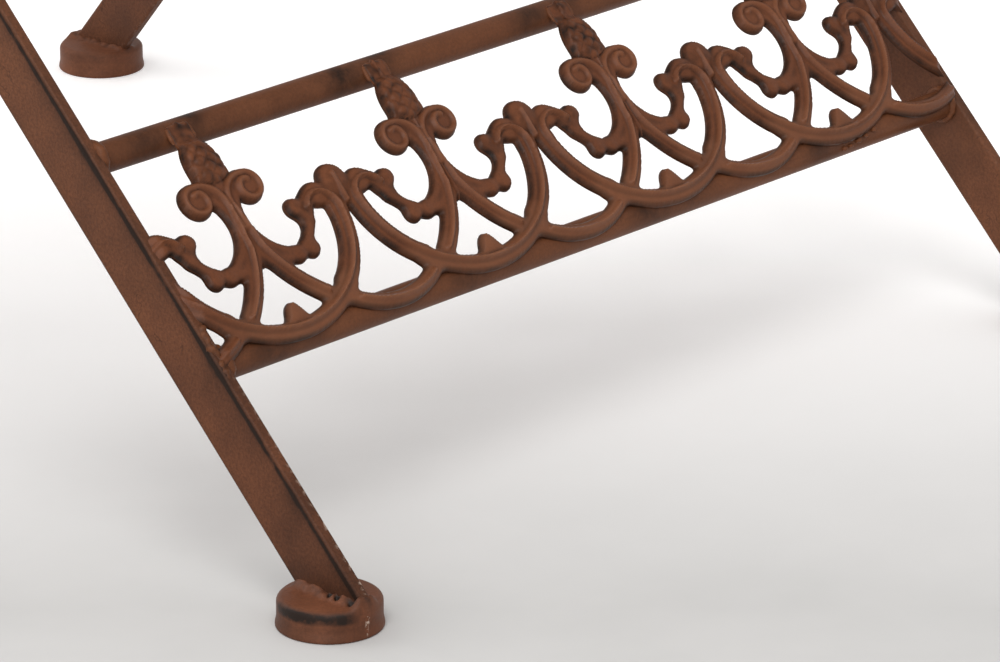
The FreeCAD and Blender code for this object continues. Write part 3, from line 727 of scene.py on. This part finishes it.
def relief():
    """Grids of u, v, signed distance to the casting's outline, its height, its dark hollows and spots of painted
    shade, and its painted highlights on the ridges and painted light low down.
    """
    u = np.arange(-HALF_WIDTH, HALF_WIDTH + GRID / 2, GRID)
    v = np.arange(V_LOW, V_HIGH + GRID / 2, GRID)
    u, v = np.meshgrid(u, v, indexing="ij")
    outline = np.full_like(u, FAR)
    raised, painted_light, painted_shade, dark = (np.zeros_like(u) for _ in range(4))
    for axis in [FIRST_AXIS - PERIOD] + MOTIF_AXES + [FIRST_AXIS + 4 * PERIOD]:
        near = slice(*np.searchsorted(u[:, 0], (axis - MOTIF_REACH, axis + MOTIF_REACH)))
        for a in (u[near] - axis, axis - u[near]):
            edge, *others = half_motif(a, v[near])
            outline[near] = np.minimum(outline[near], edge)
            for field, other in zip((raised, painted_light, painted_shade, dark), others):
                field[near] = np.maximum(field[near], other)
    places = np.stack([u, v, np.zeros_like(u)], -1)
    ripple = wobble(places, 0.09, 5).reshape(u.shape)
    mottle = wobble(places, 0.38, 8).reshape(u.shape)
    outline += 0.12 * ripple
    inward = np.minimum(outline, 0)
    flank = np.sin(math.pi / 2 * np.clip(-outline / FLANK, 0, 1))
    tab = ramp(v, BUD_HIGH - 0.5, BUD_HIGH + 1.5)
    swell = SWELL * (1 - np.exp(inward / 2.0))
    face = (FACE_HEIGHT - RIM_HEIGHT) * (1 - 0.6 * tab) + raised + swell * (1 - 0.8 * tab)
    height = RIM_HEIGHT * (1 - 0.6 * tab) + face * flank + 0.10 * ripple + 0.5 * tab * mottle
    from_end = END_REACH - np.abs(u)
    height *= 0.12 + 0.88 * eased(ramp(from_end, 0, END_FADE))
    groove = falloff(inward, 1.25) * (1 - 0.8 * np.clip(raised, 0, 1))
    dark = np.clip(dark * (0.6 + 1.3 * mottle), 0, 1) + tab * np.clip(0.35 + 0.9 * mottle, 0, 1)
    # Painted shade in the spots, made mottled, and dark paint along the strands' edges.
    dark += np.clip(painted_shade * (0.25 + 0.5 * mottle), 0, 1) + 0.8 * (1 - 0.8 * tab) * groove
    # Painted highlights on the ridges, weaker higher up, and painted light low down, where the strands face down into
    # shade; both fade out towards the ends.
    painted_light = np.maximum(painted_light * (0.5 + 0.5 * ramp(v, 36.0, 16.0)), 0.45 * ramp(v, 16.0, 12.0))
    painted_light *= flank * ramp(from_end, 0, PAINTED_LIGHT_FADE)
    return u, v, outline, height, np.clip(dark, 0, 1), painted_light


def sampled(field, u, v):
    """A relief grid's value between its points."""
    x = np.clip((u + HALF_WIDTH) / GRID, 0, field.shape[0] - 1.001)
    y = np.clip((v - V_LOW) / GRID, 0, field.shape[1] - 1.001)
    i, j = x.astype(int), y.astype(int)
    p, q = x - i, y - j
    return (field[i, j] * (1 - p) * (1 - q) + field[i + 1, j] * p * (1 - q)
            + field[i, j + 1] * (1 - p) * q + field[i + 1, j + 1] * p * q)


def blurred(field, reach):
    kernel = np.exp(-np.linspace(-2, 2, 2 * reach + 1) ** 2)
    kernel /= kernel.sum()
    for axis in (0, 1):
        field = np.apply_along_axis(lambda row: np.convolve(np.pad(row, reach, "edge"), kernel, "valid"), axis, field)
    return field


RIM = 0.25
# Rings down the casting's wall: how far out, how far below the face (None is the flat back), and how dark.
WALL_RINGS = ((0.16, 0.2, 0.6), (RIM, 0.5, 0.65), (RIM, None, 0.7))
BACK_SHADE = 0.3


def inside_cells(field):
    """Grid points used by the cells inside an outline, the cells as quads of them, and the border's edges."""
    centre = (field[:-1, :-1] + field[1:, :-1] + field[:-1, 1:] + field[1:, 1:]) / 4
    row, column = np.nonzero(centre < 0)
    step = field.shape[1]
    first = row * step + column
    used, quads = np.unique(np.stack([first, first + step, first + step + 1, first + 1], 1), return_inverse=True)
    quads = quads.reshape(-1, 4)
    edges = np.concatenate([quads[:, [k, (k + 1) % 4]] for k in range(4)])
    low, high = np.sort(edges, 1).T
    _, index, counts = np.unique(low * len(used) + high, return_index=True, return_counts=True)
    return used, quads, edges[index[counts == 1]]


def frieze_mesh():
    """Points as (u, n, v), faces and paint layers of the relief with rounded rims, walls and a flat back."""
    u, v, outline, height, dark, painted_light = relief()
    field = np.maximum(outline, np.abs(u) - END_REACH) + RIM
    slope_u, slope_v = np.gradient(field, GRID)
    used, quads, border_edges = inside_cells(field)
    border = np.unique(border_edges)
    x, y = u.ravel()[used], v.ravel()[used]
    for _ in range(4):
        off, du, dv = (sampled(grid, x[border], y[border]) for grid in (field, slope_u, slope_v))
        steep = np.maximum(du * du + dv * dv, 0.2)
        x[border] -= np.clip(off * du / steep, -0.3, 0.3)
        y[border] -= np.clip(off * dv / steep, -0.3, 0.3)
    du, dv = (sampled(grid, x[border], y[border]) for grid in (slope_u, slope_v))
    long = np.maximum(np.hypot(du, dv), 0.3)
    top = sampled(height, x, y)
    hollow = ramp(blurred(np.where(outline < 0, height, 1.0), 5) - height, 0.05, 0.55)
    points = [np.stack([x, top, y], 1)]
    patina_and_shade = [np.maximum(0.7 * sampled(hollow, x, y) + 0.05, sampled(dark, x, y))]
    rings, count = [np.arange(len(used))], len(used)
    for out, drop, shade in WALL_RINGS:
        level = np.zeros(len(border)) if drop is None else top[border] - drop
        wall_u = np.clip(x[border] + out * du / long, -HALF_WIDTH, HALF_WIDTH)
        points.append(np.stack([wall_u, level, y[border] + out * dv / long], 1))
        patina_and_shade.append(np.where(y[border] > BUD_HIGH, 0.4 * shade, shade))
        ring = np.zeros(len(used), int)
        ring[border] = count + np.arange(len(border))
        rings.append(ring)
        count += len(border)
    inner = np.setdiff1d(np.arange(len(used)), border)
    points.append(np.stack([x[inner], np.zeros(len(inner)), y[inner]], 1))
    patina_and_shade.append(np.full(len(inner), BACK_SHADE))
    back = rings[-1].copy()
    back[inner] = count + np.arange(len(inner))
    a, b = border_edges.T
    walls = [np.stack([here[a], below[a], below[b], here[b]], 1) for here, below in zip(rings, rings[1:])]
    bright = np.zeros(count + len(inner))
    # Painted highlights and painted light on the face only.
    bright[:len(used)] = 0.6 * sampled(painted_light, x, y)
    return (np.concatenate(points), np.concatenate([quads, *walls, back[quads[:, ::-1]]]),
            {"patina_and_shade": np.concatenate(patina_and_shade), "painted_light": bright})


def make_friezes():
    points, faces, layers = frieze_mesh()
    for word, where, reach in FRIEZES:
        placed = where.put(points[:, 0], BAR_WIDTH / 2 + points[:, 1], reach + points[:, 2])
        new_piece(f"{word}_scrolls", placed, faces.tolist(), CASTING, MAIN, [f"{word}_frieze"],
                  layers, sharp=55.0)


# Feet, rivets and collars

FOOT_RADIUS, FOOT_WAIST, FOOT_SHOULDER, FOOT_FLARE, FOOT_EDGE = 18.2, 17.7, 2.2, 2.4, 0.8
FOOT_RING, FOOT_AROUND = 0.55, 160
FOOT_TOP = FOOT_HEIGHT + 0.8
# The weld that runs a leg into its foot, and its pores, sunk and painted dark as painted shade, as (distance along
# the bar, size, depth).
FILLET_HEIGHT, FILLET_REACH = 2.2, 2.2
TOE_HEIGHT, TOE_SPREAD = 2.2, 5.0
PORES = ((-9.4, 1.25, 2.8), (-2.7, 0.85, 1.8), (0.4, 0.85, 1.8))
# The dark brushed band on one side of a foot, with painted shade on that side below it, and the bare drip down
# another with the bulge around it.
BAND_LEVEL, BAND_REACH = 8.5, 1.9
BAND_SIDE, BAND_FROM, BAND_TO = np.array([-0.95, -0.30]), 0.48, 0.78
DRIP_BREADTH, DRIP_RISE, DRIP_LOW, DRIP_HIGH = 0.5, 0.2, 1.0, 9.4
BULGE_BREADTH, BULGE_REACH, BULGE_RISE = 7.0, 3.0, 0.4
# Rows of feet: name, leg's frame and breadth, y, outside of the bar, body, drip angles, strength of the band and of
# the painted shade below it, weld size.
FEET = (
    ("front", LEG, LEG_BREADTH, -FOOT_Y, HALF_WIDTH, MAIN, (-93.0, 40.0), 0.95, 1.0),
    ("rear", REAR_LEG, REAR_BREADTH, FOOT_Y, REAR_OUTSIDE, REAR, (150.0, 60.0), 0.2, 0.5),
)


def rounded_corner(centre, radius, first, last, steps=6):
    return [(centre[0] + radius * math.sin(a), centre[1] + radius * math.cos(a))
            for a in np.radians(np.linspace(first, last, steps))]


def foot_profile():
    """(height, radius) from the middle of the sole up the flared side and over the shoulder to the top."""
    profile = [(0.0, 0.3), (0.0, 9.0), (0.0, FOOT_RADIUS - 2 * FOOT_EDGE)]
    profile += rounded_corner((FOOT_EDGE, FOOT_RADIUS - FOOT_EDGE), FOOT_EDGE, -90, 0)
    for share in (0.2, 0.5, 0.8, 1.0):
        ease = 0.5 - 0.5 * math.cos(math.pi * share)
        height = FOOT_EDGE + share * 2 * (FOOT_FLARE - FOOT_EDGE)
        profile.append((height, FOOT_RADIUS + (FOOT_WAIST - FOOT_RADIUS) * ease))
    profile += [(5.0, FOOT_WAIST), (6.0, FOOT_WAIST), (7.0, FOOT_WAIST)]
    flat_top = FOOT_WAIST - FOOT_SHOULDER
    profile += rounded_corner((FOOT_TOP - FOOT_SHOULDER, flat_top), FOOT_SHOULDER, 0, 90, 8)
    return profile + [(FOOT_TOP, radius) for radius in np.arange(flat_top - FOOT_RING, 0.2, -FOOT_RING)]


def add_fillet(points, where, breadth, x_middle, side, seed, amount):
    """Raises a foot's top into a weld around its bar. Returns how dark each point is."""
    x, y = points[:, 0] - x_middle, points[:, 1] - where.start[1]
    half = breadth * BAR_WIDTH / 2 / where.up[2]
    toe = half * (1 if where.up[1] < 0 else -1)
    away = np.hypot(np.maximum(np.abs(x) - BAR_THICKNESS / 2, 0), np.maximum(np.abs(y) - half, 0)) / FILLET_REACH
    lumpy = wobble(points, 0.45, seed + 2)
    rise = FILLET_HEIGHT * falloff(away, 1.0) * (1 + 0.4 * wobble(points, 0.22, seed))
    rise += 0.8 * lumpy * falloff(away, 1.5)
    rise += TOE_HEIGHT * falloff(away, 1.8) * falloff(y - toe, TOE_SPREAD)
    dark = np.clip(0.3 - 0.5 * lumpy, 0, 1) * falloff(away, 1.3)
    # Each pore is sunk and painted dark: painted shade in its hollow.
    for along_bar, size, depth in PORES:
        pore = falloff(np.hypot(x - side * (BAR_THICKNESS / 2 + 1.0), y - along_bar), size)
        rise -= depth * pore
        dark += 1.3 * pore
    on_top = ramp(points[:, 2], FOOT_TOP - FOOT_SHOULDER, FOOT_TOP)
    points[:, 2] += amount * rise * on_top * on_top
    return dark * on_top


def make_feet():
    profile = foot_profile()
    for row, where, breadth, y, outside, body, drips, band_and_shade, weld in FEET:
        for (name, side), drip_angle in zip(SIDES, drips):
            origin = np.array([side * (outside - BAR_THICKNESS / 2), y, 0.0])
            rings = turned(profile, origin, (0, 0, 1), ACROSS, FOOT_AROUND)
            points = rings.reshape(-1, 3)
            offsets = points[:, :2] - origin[:2]
            radius = np.maximum(np.linalg.norm(offsets, axis=1), 1e-6)
            facing = offsets / radius[:, None]
            level = points[:, 2].copy()
            on_side = radius > FOOT_WAIST - FOOT_SHOULDER + 0.3
            patchy = wobble(np.column_stack([facing * 2.2, level * 0.15]), 1.0, 21 + side)
            strength = ramp(facing @ BAND_SIDE + 0.12 * patchy, BAND_FROM, BAND_TO)
            band = strength * np.exp(-((level - BAND_LEVEL) / BAND_REACH) ** 4)
            # Painted shade on the foot's side: a little all round, and more below the band on the side towards
            # BAND_SIDE.
            below = ramp(level, BAND_LEVEL - 1.0, BAND_LEVEL - 3.0) * np.clip(0.25 + facing @ BAND_SIDE, 0, 1)
            shade = on_side * (0.06 + band_and_shade * (band + 0.32 * below))
            around = np.arctan2(offsets[:, 1], offsets[:, 0]) - math.radians(drip_angle)
            aside = 2 * radius * np.sin(around / 2)
            drip = on_side * falloff(aside, DRIP_BREADTH)
            drip *= ramp(level, DRIP_LOW, DRIP_LOW + 1.5) * ramp(level, DRIP_HIGH, DRIP_HIGH - 1.5)
            patina_and_shade = shade * (1 - drip) + mottled(points, 0.06, 0.15, 0.05, 30 + side)
            patina_and_shade += add_fillet(points, where, breadth, origin[0], side, 70 + side, weld)
            bulge = on_side * falloff(aside, BULGE_BREADTH) * falloff(level - BAND_LEVEL, BULGE_REACH)
            points[:, :2] += (DRIP_RISE * drip + BULGE_RISE * bulge)[:, None] * facing
            ringed_piece(f"{row}_cap_{name}", rings, FOOT, body, f"{row}_foot_{name}",
                         {"patina_and_shade": patina_and_shade, "worn": 2.0 * drip}, sharp=35.0)


def rivet_profile(span):
    """A shank with a domed head at each end, from end to end."""
    sphere = (RIVET_HEAD_RADIUS ** 2 + RIVET_HEAD_HEIGHT ** 2) / (2 * RIVET_HEAD_HEIGHT)
    spread = math.asin(RIVET_HEAD_RADIUS / sphere)
    head = [(sphere - RIVET_HEAD_HEIGHT - sphere * math.cos(a), min(sphere * math.sin(a), RIVET_HEAD_RADIUS))
            for a in np.linspace(0.02, spread, 10)]
    shank = [(0.0, RIVET_SHANK_RADIUS), (span, RIVET_SHANK_RADIUS)]
    return head + shank + [(span - x, r) for x, r in reversed(head)]


def collar_profile(length, radius):
    """A washer or spacer with softened edges, from its bore to its bore."""
    half = [(0.0, RIVET_SHANK_RADIUS), (0.0, radius - 0.4), (0.15, radius - 0.1), (0.4, radius)]
    return half + [(length - x, r) for x, r in reversed(half)]


def make_rivets():
    for word, collar, (y, z), inside, radius in (
        ("fold", "washer", FOLD_PIVOT, REAR_OUTSIDE, WASHER_RADIUS),
        ("seat", "spacer", SEAT_PIVOT, SEAT_OUTSIDE, SPACER_RADIUS),
    ):
        span = HALF_WIDTH - inside + BAR_THICKNESS + WASHER_PLAY
        length = BAR_INSIDE - inside - WASHER_PLAY
        for name, side in SIDES:
            start = -HALF_WIDTH if side < 0 else HALF_WIDTH - span
            rings = turned(rivet_profile(span), (start, y, z), ACROSS, (0, 1, 0), RIVET_AROUND)
            from_axis = np.hypot(rings[..., 1] - y, rings[..., 2] - z).ravel()
            ringed_piece(f"{word}_pin_{name}", rings, RIVET, MAIN, f"{word}_rivet_{name}",
                         {"patina_and_shade": 0.6 * falloff(from_axis - RIVET_HEAD_RADIUS, 1.2)}, sharp=35.0)
            start = -BAR_INSIDE if side < 0 else BAR_INSIDE - length
            rings = turned(collar_profile(length, radius), (start, y, z), ACROSS, (0, 1, 0), RIVET_AROUND)
            ringed_piece(f"{word}_collar_{name}", rings, RIVET, MAIN, f"{word}_{collar}_{name}",
                         {"patina_and_shade": np.full(rings.size // 3, 0.2)}, sharp=35.0, closed=True)


# The seat

SEAT_FRONT_Y = SEAT_PIVOT[0] - SEAT_DEPTH


def make_seat_bars():
    rear_y = SEAT_PIVOT[0] - SEAT_REAR_INSET
    middle_y = (REST_ROD[0] + HOOK_REACH + rear_y) / 2
    bar_z = SEAT_HEIGHT - SLAT_THICKNESS - SEAT_BAR_RADIUS
    for word, y in (("front", SEAT_FRONT_Y), ("middle", middle_y), ("rear", rear_y)):
        cross_rod(f"seat_{word}_rod", SEAT_INSIDE, y, bar_z, SEAT_BAR_RADIUS, SEAT, f"seat_{word}_bar")


def make_seat_rails():
    half = SEAT_RAIL_WIDTH / 2
    section = rounded_section(half, BAR_THICKNESS / 2, BAR_ROUND)
    front, rear = SEAT_FRONT_Y - SEAT_RAIL_OVERHANG + half, SEAT_PIVOT[0]
    straight = stations(front, rear, SEAT_STEP)
    places = np.concatenate([front - half * np.sin(ROUND_END[::-1]), straight, rear + half * np.sin(ROUND_END)])
    squeeze = np.concatenate([np.cos(ROUND_END[::-1]), np.ones(len(straight)), np.cos(ROUND_END)])
    path = [((y, SEAT_AXIS_Z), 90.0) for y in places]
    for name, side in SIDES:
        rings = bar_in_side_view(path, side * (SEAT_OUTSIDE - BAR_THICKNESS / 2), section, squeeze)
        layers = edge_layers(section, len(path), side, 0.25)
        layers["patina_and_shade"] = mottled(rings, *BAR_MOTTLE, 40 + side)
        ringed_piece(f"seat_side_{name}", rings, IRON, SEAT, f"seat_rail_{name}", layers)


def hook_outline():
    """A plate that drops over the rest rod, as (y, z) points."""
    y, z = REST_ROD
    clear = RAIL_RADIUS + REST_ROD_PLAY
    top = SEAT_AXIS_Z + SEAT_RAIL_WIDTH / 4
    bottom = z - HOOK_LIP / 2
    outline = [(y + HOOK_REACH, z + clear + HOOK_LIP), (y + HOOK_REACH, top), (y - HOOK_REACH, top),
               (y - HOOK_REACH, z), (y - clear - HOOK_LIP / 2, bottom), (y - clear, bottom)]
    for angle in np.radians(np.linspace(180, 90, 9)):
        outline.append((y + clear * math.cos(angle), z + clear * math.sin(angle)))
    return outline


def make_hooks():
    outline = hook_outline()
    for name, side in SIDES:
        low = -SEAT_INSIDE if side < 0 else SEAT_INSIDE - BAR_THICKNESS
        plate = bmesh.new()
        bottom, top = ([plate.verts.new((x, y, z)) for y, z in outline] for x in (low, low + BAR_THICKNESS))
        plate.faces.new(bottom)
        plate.faces.new(top[::-1])
        for i in range(len(outline)):
            plate.faces.new((bottom[i - 1], top[i - 1], top[i], bottom[i]))
        bmesh.ops.recalc_face_normals(plate, faces=plate.faces)
        bent = [e for e in plate.edges if e.calc_face_angle(0.0) > math.radians(30)]
        bmesh.ops.bevel(plate, geom=bent, offset=HOOK_BEVEL, segments=3, profile=0.5, affect="EDGES")
        plate.verts.index_update()
        points = np.array([v.co for v in plate.verts])
        faces = [tuple(v.index for v in f.verts) for f in plate.faces]
        plate.free()
        new_piece(f"seat_catch_{name}", points, faces, IRON, SEAT, [f"seat_hook_{name}"],
                  {"patina_and_shade": mottled(points, 0.15, 0.25, 0.06, 50 + side)}, sharp=35.0)


def make_slats():
    half = SLAT_THICKNESS / 2
    section = rounded_section(half, SLAT_WIDTH / 2, SLAT_ROUND)
    bend = (SEAT_FRONT_Y, SEAT_HEIGHT - WATERFALL_RADIUS)
    path = [(along(bend, -angle, WATERFALL_RADIUS - half), 90 - angle)
            for angle in np.linspace(WATERFALL_ANGLE, 0, 13)[:-1]]
    back_y = SEAT_PIVOT[0] - SLAT_SETBACK
    path += [((y, SEAT_HEIGHT - half), 90.0) for y in stations(SEAT_FRONT_Y, back_y, SLAT_STEP)]
    line = 0.6 * sum(near_corner(section, (half, s * SLAT_WIDTH / 2), 1.4) for s in (-1, 1))
    outermost = SEAT_INSIDE - SLAT_SIDE_GAP - SLAT_WIDTH / 2
    for index, x in enumerate(np.linspace(-outermost, outermost, SLAT_COUNT)):
        rings = bar_in_side_view(path, x, section)
        layers = {"line": np.tile(line, len(path)), "patina_and_shade": mottled(rings, 0.08, 0.24, 0.03, 60 + index)}
        ringed_piece(f"slat_{index + 1}", rings, IRON, SEAT, f"seat_slat_{index + 1}", layers)


# Weld beads

BEAD_STEP, BEAD_AROUND, RING_STEPS = 0.7, 14, 40
# A direction that no bead runs along.
GUIDE = np.array([0.31, 0.22, 0.92])
# Bead radius at the main rails' left and right ends, at thin joints, under the frieze and around its tabs.
RAIL_BEADS, THIN_BEAD, FRIEZE_BEAD, TAB_BEAD = (2.2, 1.5), 0.9, 1.1, 0.8
# Beads under a motif's ring, from and to along it.
RING_BEADS = ((-12.0, -2.0), (2.0, 13.0))
# Rough welds on the left and right leg beside the lower rail: radius and roughness.
LEG_WELDS = ((1.7, 0.6), (1.1, 0.3))
LEG_WELD_LOW, LEG_WELD_HIGH = -8.0, 15.0
# Drops on the rail under the last ring of the front frieze: place along it, drop below its edge, radius.
WELD_DROPS = ((-2.5, 4.6, 1.3), (1.0, 4.4, 1.3), (5.5, 4.0, 1.5), (10.0, 4.0, 1.3), (15.0, 4.2, 1.4))


def ring_edge(from_axis):
    """How the lower edge of a motif's ring rises away from its axis."""
    return from_axis ** 2 / 100


class Welds:
    """Beads that are gathered into one piece for each body."""

    def __init__(self):
        self.parts = {}
        self.seed = 1

    def bead(self, body, path, radius, closed=False, rough=0.16, shade=0.08):
        self.seed += 1
        path = np.concatenate([path, path[:1]]) if closed else path
        run = np.concatenate([[0], np.cumsum(np.linalg.norm(np.diff(path, axis=0), axis=1))])
        count = max(8, int(run[-1] / BEAD_STEP))
        at = np.linspace(0, run[-1], count, endpoint=not closed)
        middle = np.stack([np.interp(at, run, path[:, k]) for k in range(3)], 1)
        ahead = unit(np.roll(middle, -1, 0) - np.roll(middle, 1, 0) if closed else np.gradient(middle, axis=0))
        axis_a = unit(np.cross(ahead, GUIDE))
        ripple = 1 + 0.04 * np.sin(at * 2.6 + self.seed) + 0.25 * wobble(middle, 0.16, self.seed)
        if not closed:
            ripple *= np.clip(np.minimum(at, run[-1] - at) / (1.6 * radius), 0.15, 1) ** 0.5
        outward = circle(axis_a, np.cross(ahead, axis_a), BEAD_AROUND)
        points = (middle[:, None, :] + radius * ripple[:, None, None] * outward).reshape(-1, 3)
        lumps = rough * radius * wobble(points, 0.5, self.seed + 1)
        points += lumps[:, None] * outward.reshape(-1, 3)
        all_points, all_faces, patina_and_shade = self.parts.setdefault(body, ([], [], []))
        start = len(all_points)
        all_faces += [[start + i for i in face] for face in ring_faces(count, BEAD_AROUND, closed)]
        all_points += list(points)
        patina_and_shade += list(np.clip(shade - 0.9 * lumps / radius, 0, 1))

    def ring(self, body, centre, axis, radius, bead_radius):
        side = unit(np.cross(axis, (0.0, 0.8, 0.6)))
        self.bead(body, turned([(0.0, radius)], centre, axis, side, RING_STEPS)[0], bead_radius, True)

    def finish(self):
        for body, (points, faces, patina_and_shade) in self.parts.items():
            new_piece(f"weld_beads_{body}", points, faces, ROD, body, (), {"patina_and_shade": patina_and_shade}, sharp=60.0)


def weld_frieze(welds, where, reach):
    """Beads under each motif's ring and around its tab."""
    for axis in MOTIF_AXES:
        for start, end in RING_BEADS:
            u = np.linspace(start, end, 8)
            s = reach - 1.4 + ring_edge(u)
            welds.bead(MAIN, where.put(axis + u, BAR_WIDTH / 2 - 0.1, s), FRIEZE_BEAD)
        u = TAB_HALF_WIDTH * np.array([-1.0, -1.0, -0.7, 0.7, 1.0, 1.0])
        s = reach + TAB_TOP - np.array([6.5, 1.6, 0.5, 0.5, 1.6, 6.5])
        welds.bead(MAIN, where.put(axis + u, BAR_WIDTH / 2 - 0.2, s), TAB_BEAD)


def make_welds():
    welds = Welds()
    for _, where, reach in MAIN_RAILS:
        for (_, side), bead in zip(SIDES, RAIL_BEADS):
            end = rail_place(where, reach) + side * (BAR_INSIDE - 0.9) * ACROSS
            welds.ring(MAIN, end, ACROSS, RAIL_RADIUS + 0.1, bead)
    for place in (REAR_RAIL, REST_ROD):
        for _, side in SIDES:
            welds.ring(REAR, (side * (REAR_INSIDE - 0.2), *place), ACROSS, RAIL_RADIUS, THIN_BEAD)
    for x in SPINDLE_X:
        for s in (BACK_LOWER_RAIL_REACH + RAIL_RADIUS - 0.6, BACK_FRIEZE_REACH - RAIL_RADIUS + 0.6):
            welds.ring(MAIN, BACK.put(x, RAIL_FORWARD, s), BACK.up, SPINDLE_RADIUS, THIN_BEAD)
    for _, where, reach in FRIEZES:
        weld_frieze(welds, where, reach)
    for along_ring, below, radius in WELD_DROPS:
        u = MOTIF_AXES[-1] + along_ring + np.linspace(-radius, radius, 5)
        v = ring_edge(along_ring) - below
        front = RAIL_FORWARD + math.sqrt(RAIL_RADIUS ** 2 - v ** 2)
        welds.bead(MAIN, LEG.put(u, front + 0.4 * radius, LOWER_RAIL_REACH + v), radius, shade=0.0)
    for (_, side), (radius, rough) in zip(SIDES, LEG_WELDS):
        s = LOWER_RAIL_REACH + np.linspace(LEG_WELD_LOW, LEG_WELD_HIGH, 30)
        x = side * (HALF_WIDTH - BAR_THICKNESS / 2 + 0.1 - 0.4 * np.sin(s * 0.45))
        welds.bead(MAIN, LEG.put(x, LEG_BREADTH * BAR_WIDTH / 2 - 1.0, s), radius, rough=rough, shade=0.35)
    welds.finish()


# Camera, floor and light, in metres

IMAGE_WIDTH = 1000.0
SENSOR_WIDTH = 36.0
FOCAL_PIXELS = 5898.68
CAMERA_PLACE = Vector((-1.4976, -1.4908, 0.7425))
CAMERA_RIGHT = Vector((0.66725, -0.74483, 0.0))
CAMERA_UP = Vector((0.25016, 0.22410, 0.94190))


def make_camera():
    data = bpy.data.cameras.new("photo_camera")
    data.sensor_fit = "HORIZONTAL"
    data.sensor_width = SENSOR_WIDTH
    data.lens = FOCAL_PIXELS * SENSOR_WIDTH / IMAGE_WIDTH
    data.clip_end = 50.0
    camera = new_object("photo_camera", data)
    backward = CAMERA_RIGHT.cross(CAMERA_UP)
    turn = Matrix((CAMERA_RIGHT, CAMERA_UP, backward)).transposed().to_4x4()
    camera.matrix_world = Matrix.Translation(CAMERA_PLACE) @ turn
    bpy.context.scene.camera = camera


FLOOR_REACH, FLOOR_CLOUD_SCALE = 12.0, 9.0
FLOOR_GREYS = ((0.56, 0.551, 0.538, 1.0), (0.60, 0.588, 0.575, 1.0))
FLOOR_REFLECTION_WHITE = (0.90, 0.885, 0.875, 1.0)
GLOW_COLOUR, GLOW_STRENGTH = (1.0, 0.985, 0.985, 1.0), 0.32
# The direction in which the floor runs away from the viewer, and where along it the floor turns white and glows as a
# painted reflection of a bright backdrop.
VIEW_ALONG_FLOOR = (0.745, 0.667, 0.0)
REFLECTION_WHITE_FADE, GLOW_FADE = (-0.30, -0.02), (-0.02, 0.20)


def make_floor():
    g = Graph("pale_floor")
    where = g.add("ShaderNodeTexCoord", {}).outputs["Object"]
    cloud = g.noise(where, FLOOR_CLOUD_SCALE, 4.0)
    away = g.add("ShaderNodeVectorMath", {0: where, 1: VIEW_ALONG_FLOOR}, operation="DOT_PRODUCT").outputs["Value"]
    near = g.mix(g.ramp(cloud, 0.35, 0.65), *FLOOR_GREYS)
    # Painted reflection: the floor turns from grey to white further away, and there glows to camera and glossy rays.
    g.surface("Base Color", g.mix(g.ramp(away, *REFLECTION_WHITE_FADE), near, FLOOR_REFLECTION_WHITE))
    path = g.add("ShaderNodeLightPath", {})
    seen = g.math("MAXIMUM", path.outputs["Is Camera Ray"], path.outputs["Is Glossy Ray"])
    g.surface("Emission Color", GLOW_COLOUR)
    g.surface("Emission Strength", g.math("MULTIPLY", seen, g.ramp(away, *GLOW_FADE, 0.0, GLOW_STRENGTH)))
    g.surface("Roughness", 0.6)
    g.surface("Specular IOR Level", 0.2)
    mesh = bpy.data.meshes.new("floor")
    corners = [(x * FLOOR_REACH, y * FLOOR_REACH, 0) for x, y in ((-1, -1), (1, -1), (1, 1), (-1, 1))]
    mesh.from_pydata(corners, [], [(0, 1, 2, 3)])
    mesh.materials.append(g.material)
    floor = new_object("floor", mesh)


# Square lamps: name, place, target, size and power.
LAMPS = (
    ("key", (-3.2, -2.8, 6.0), (0, -0.1, 0.2), 4.0, 240.0),
    ("low", (-4.4, -2.4, 1.5), (0.1, 0.1, 0.1), 2.8, 80.0),
    ("fill", (-2.4, 4.8, 4.0), (0, 0.2, 0.1), 4.8, 125.0),
)
WORLD_STRENGTH = 0.66


def make_light():
    world = bpy.data.worlds.new("studio")
    world.use_nodes = True
    background = world.node_tree.nodes["Background"]
    background.inputs["Color"].default_value = (1.0, 1.0, 1.0, 1.0)
    background.inputs["Strength"].default_value = WORLD_STRENGTH
    bpy.context.scene.world = world
    for name, place, target, size, power in LAMPS:
        data = bpy.data.lights.new(name, "AREA")
        data.shape = "SQUARE"
        data.size = size
        data.energy = power
        lamp = new_object(name, data)
        lamp.location = place
        lamp.rotation_euler = (Vector(target) - Vector(place)).to_track_quat("-Z", "Y").to_euler()


make_side_rails()
make_rear_legs()
make_top_rail()
make_rods()
make_friezes()
make_feet()
make_rivets()
make_seat_bars()
make_seat_rails()
make_hooks()
make_slats()
make_welds()
make_camera()
make_floor()
make_light()
bpy.context.scene.view_settings.view_transform = "Standard"
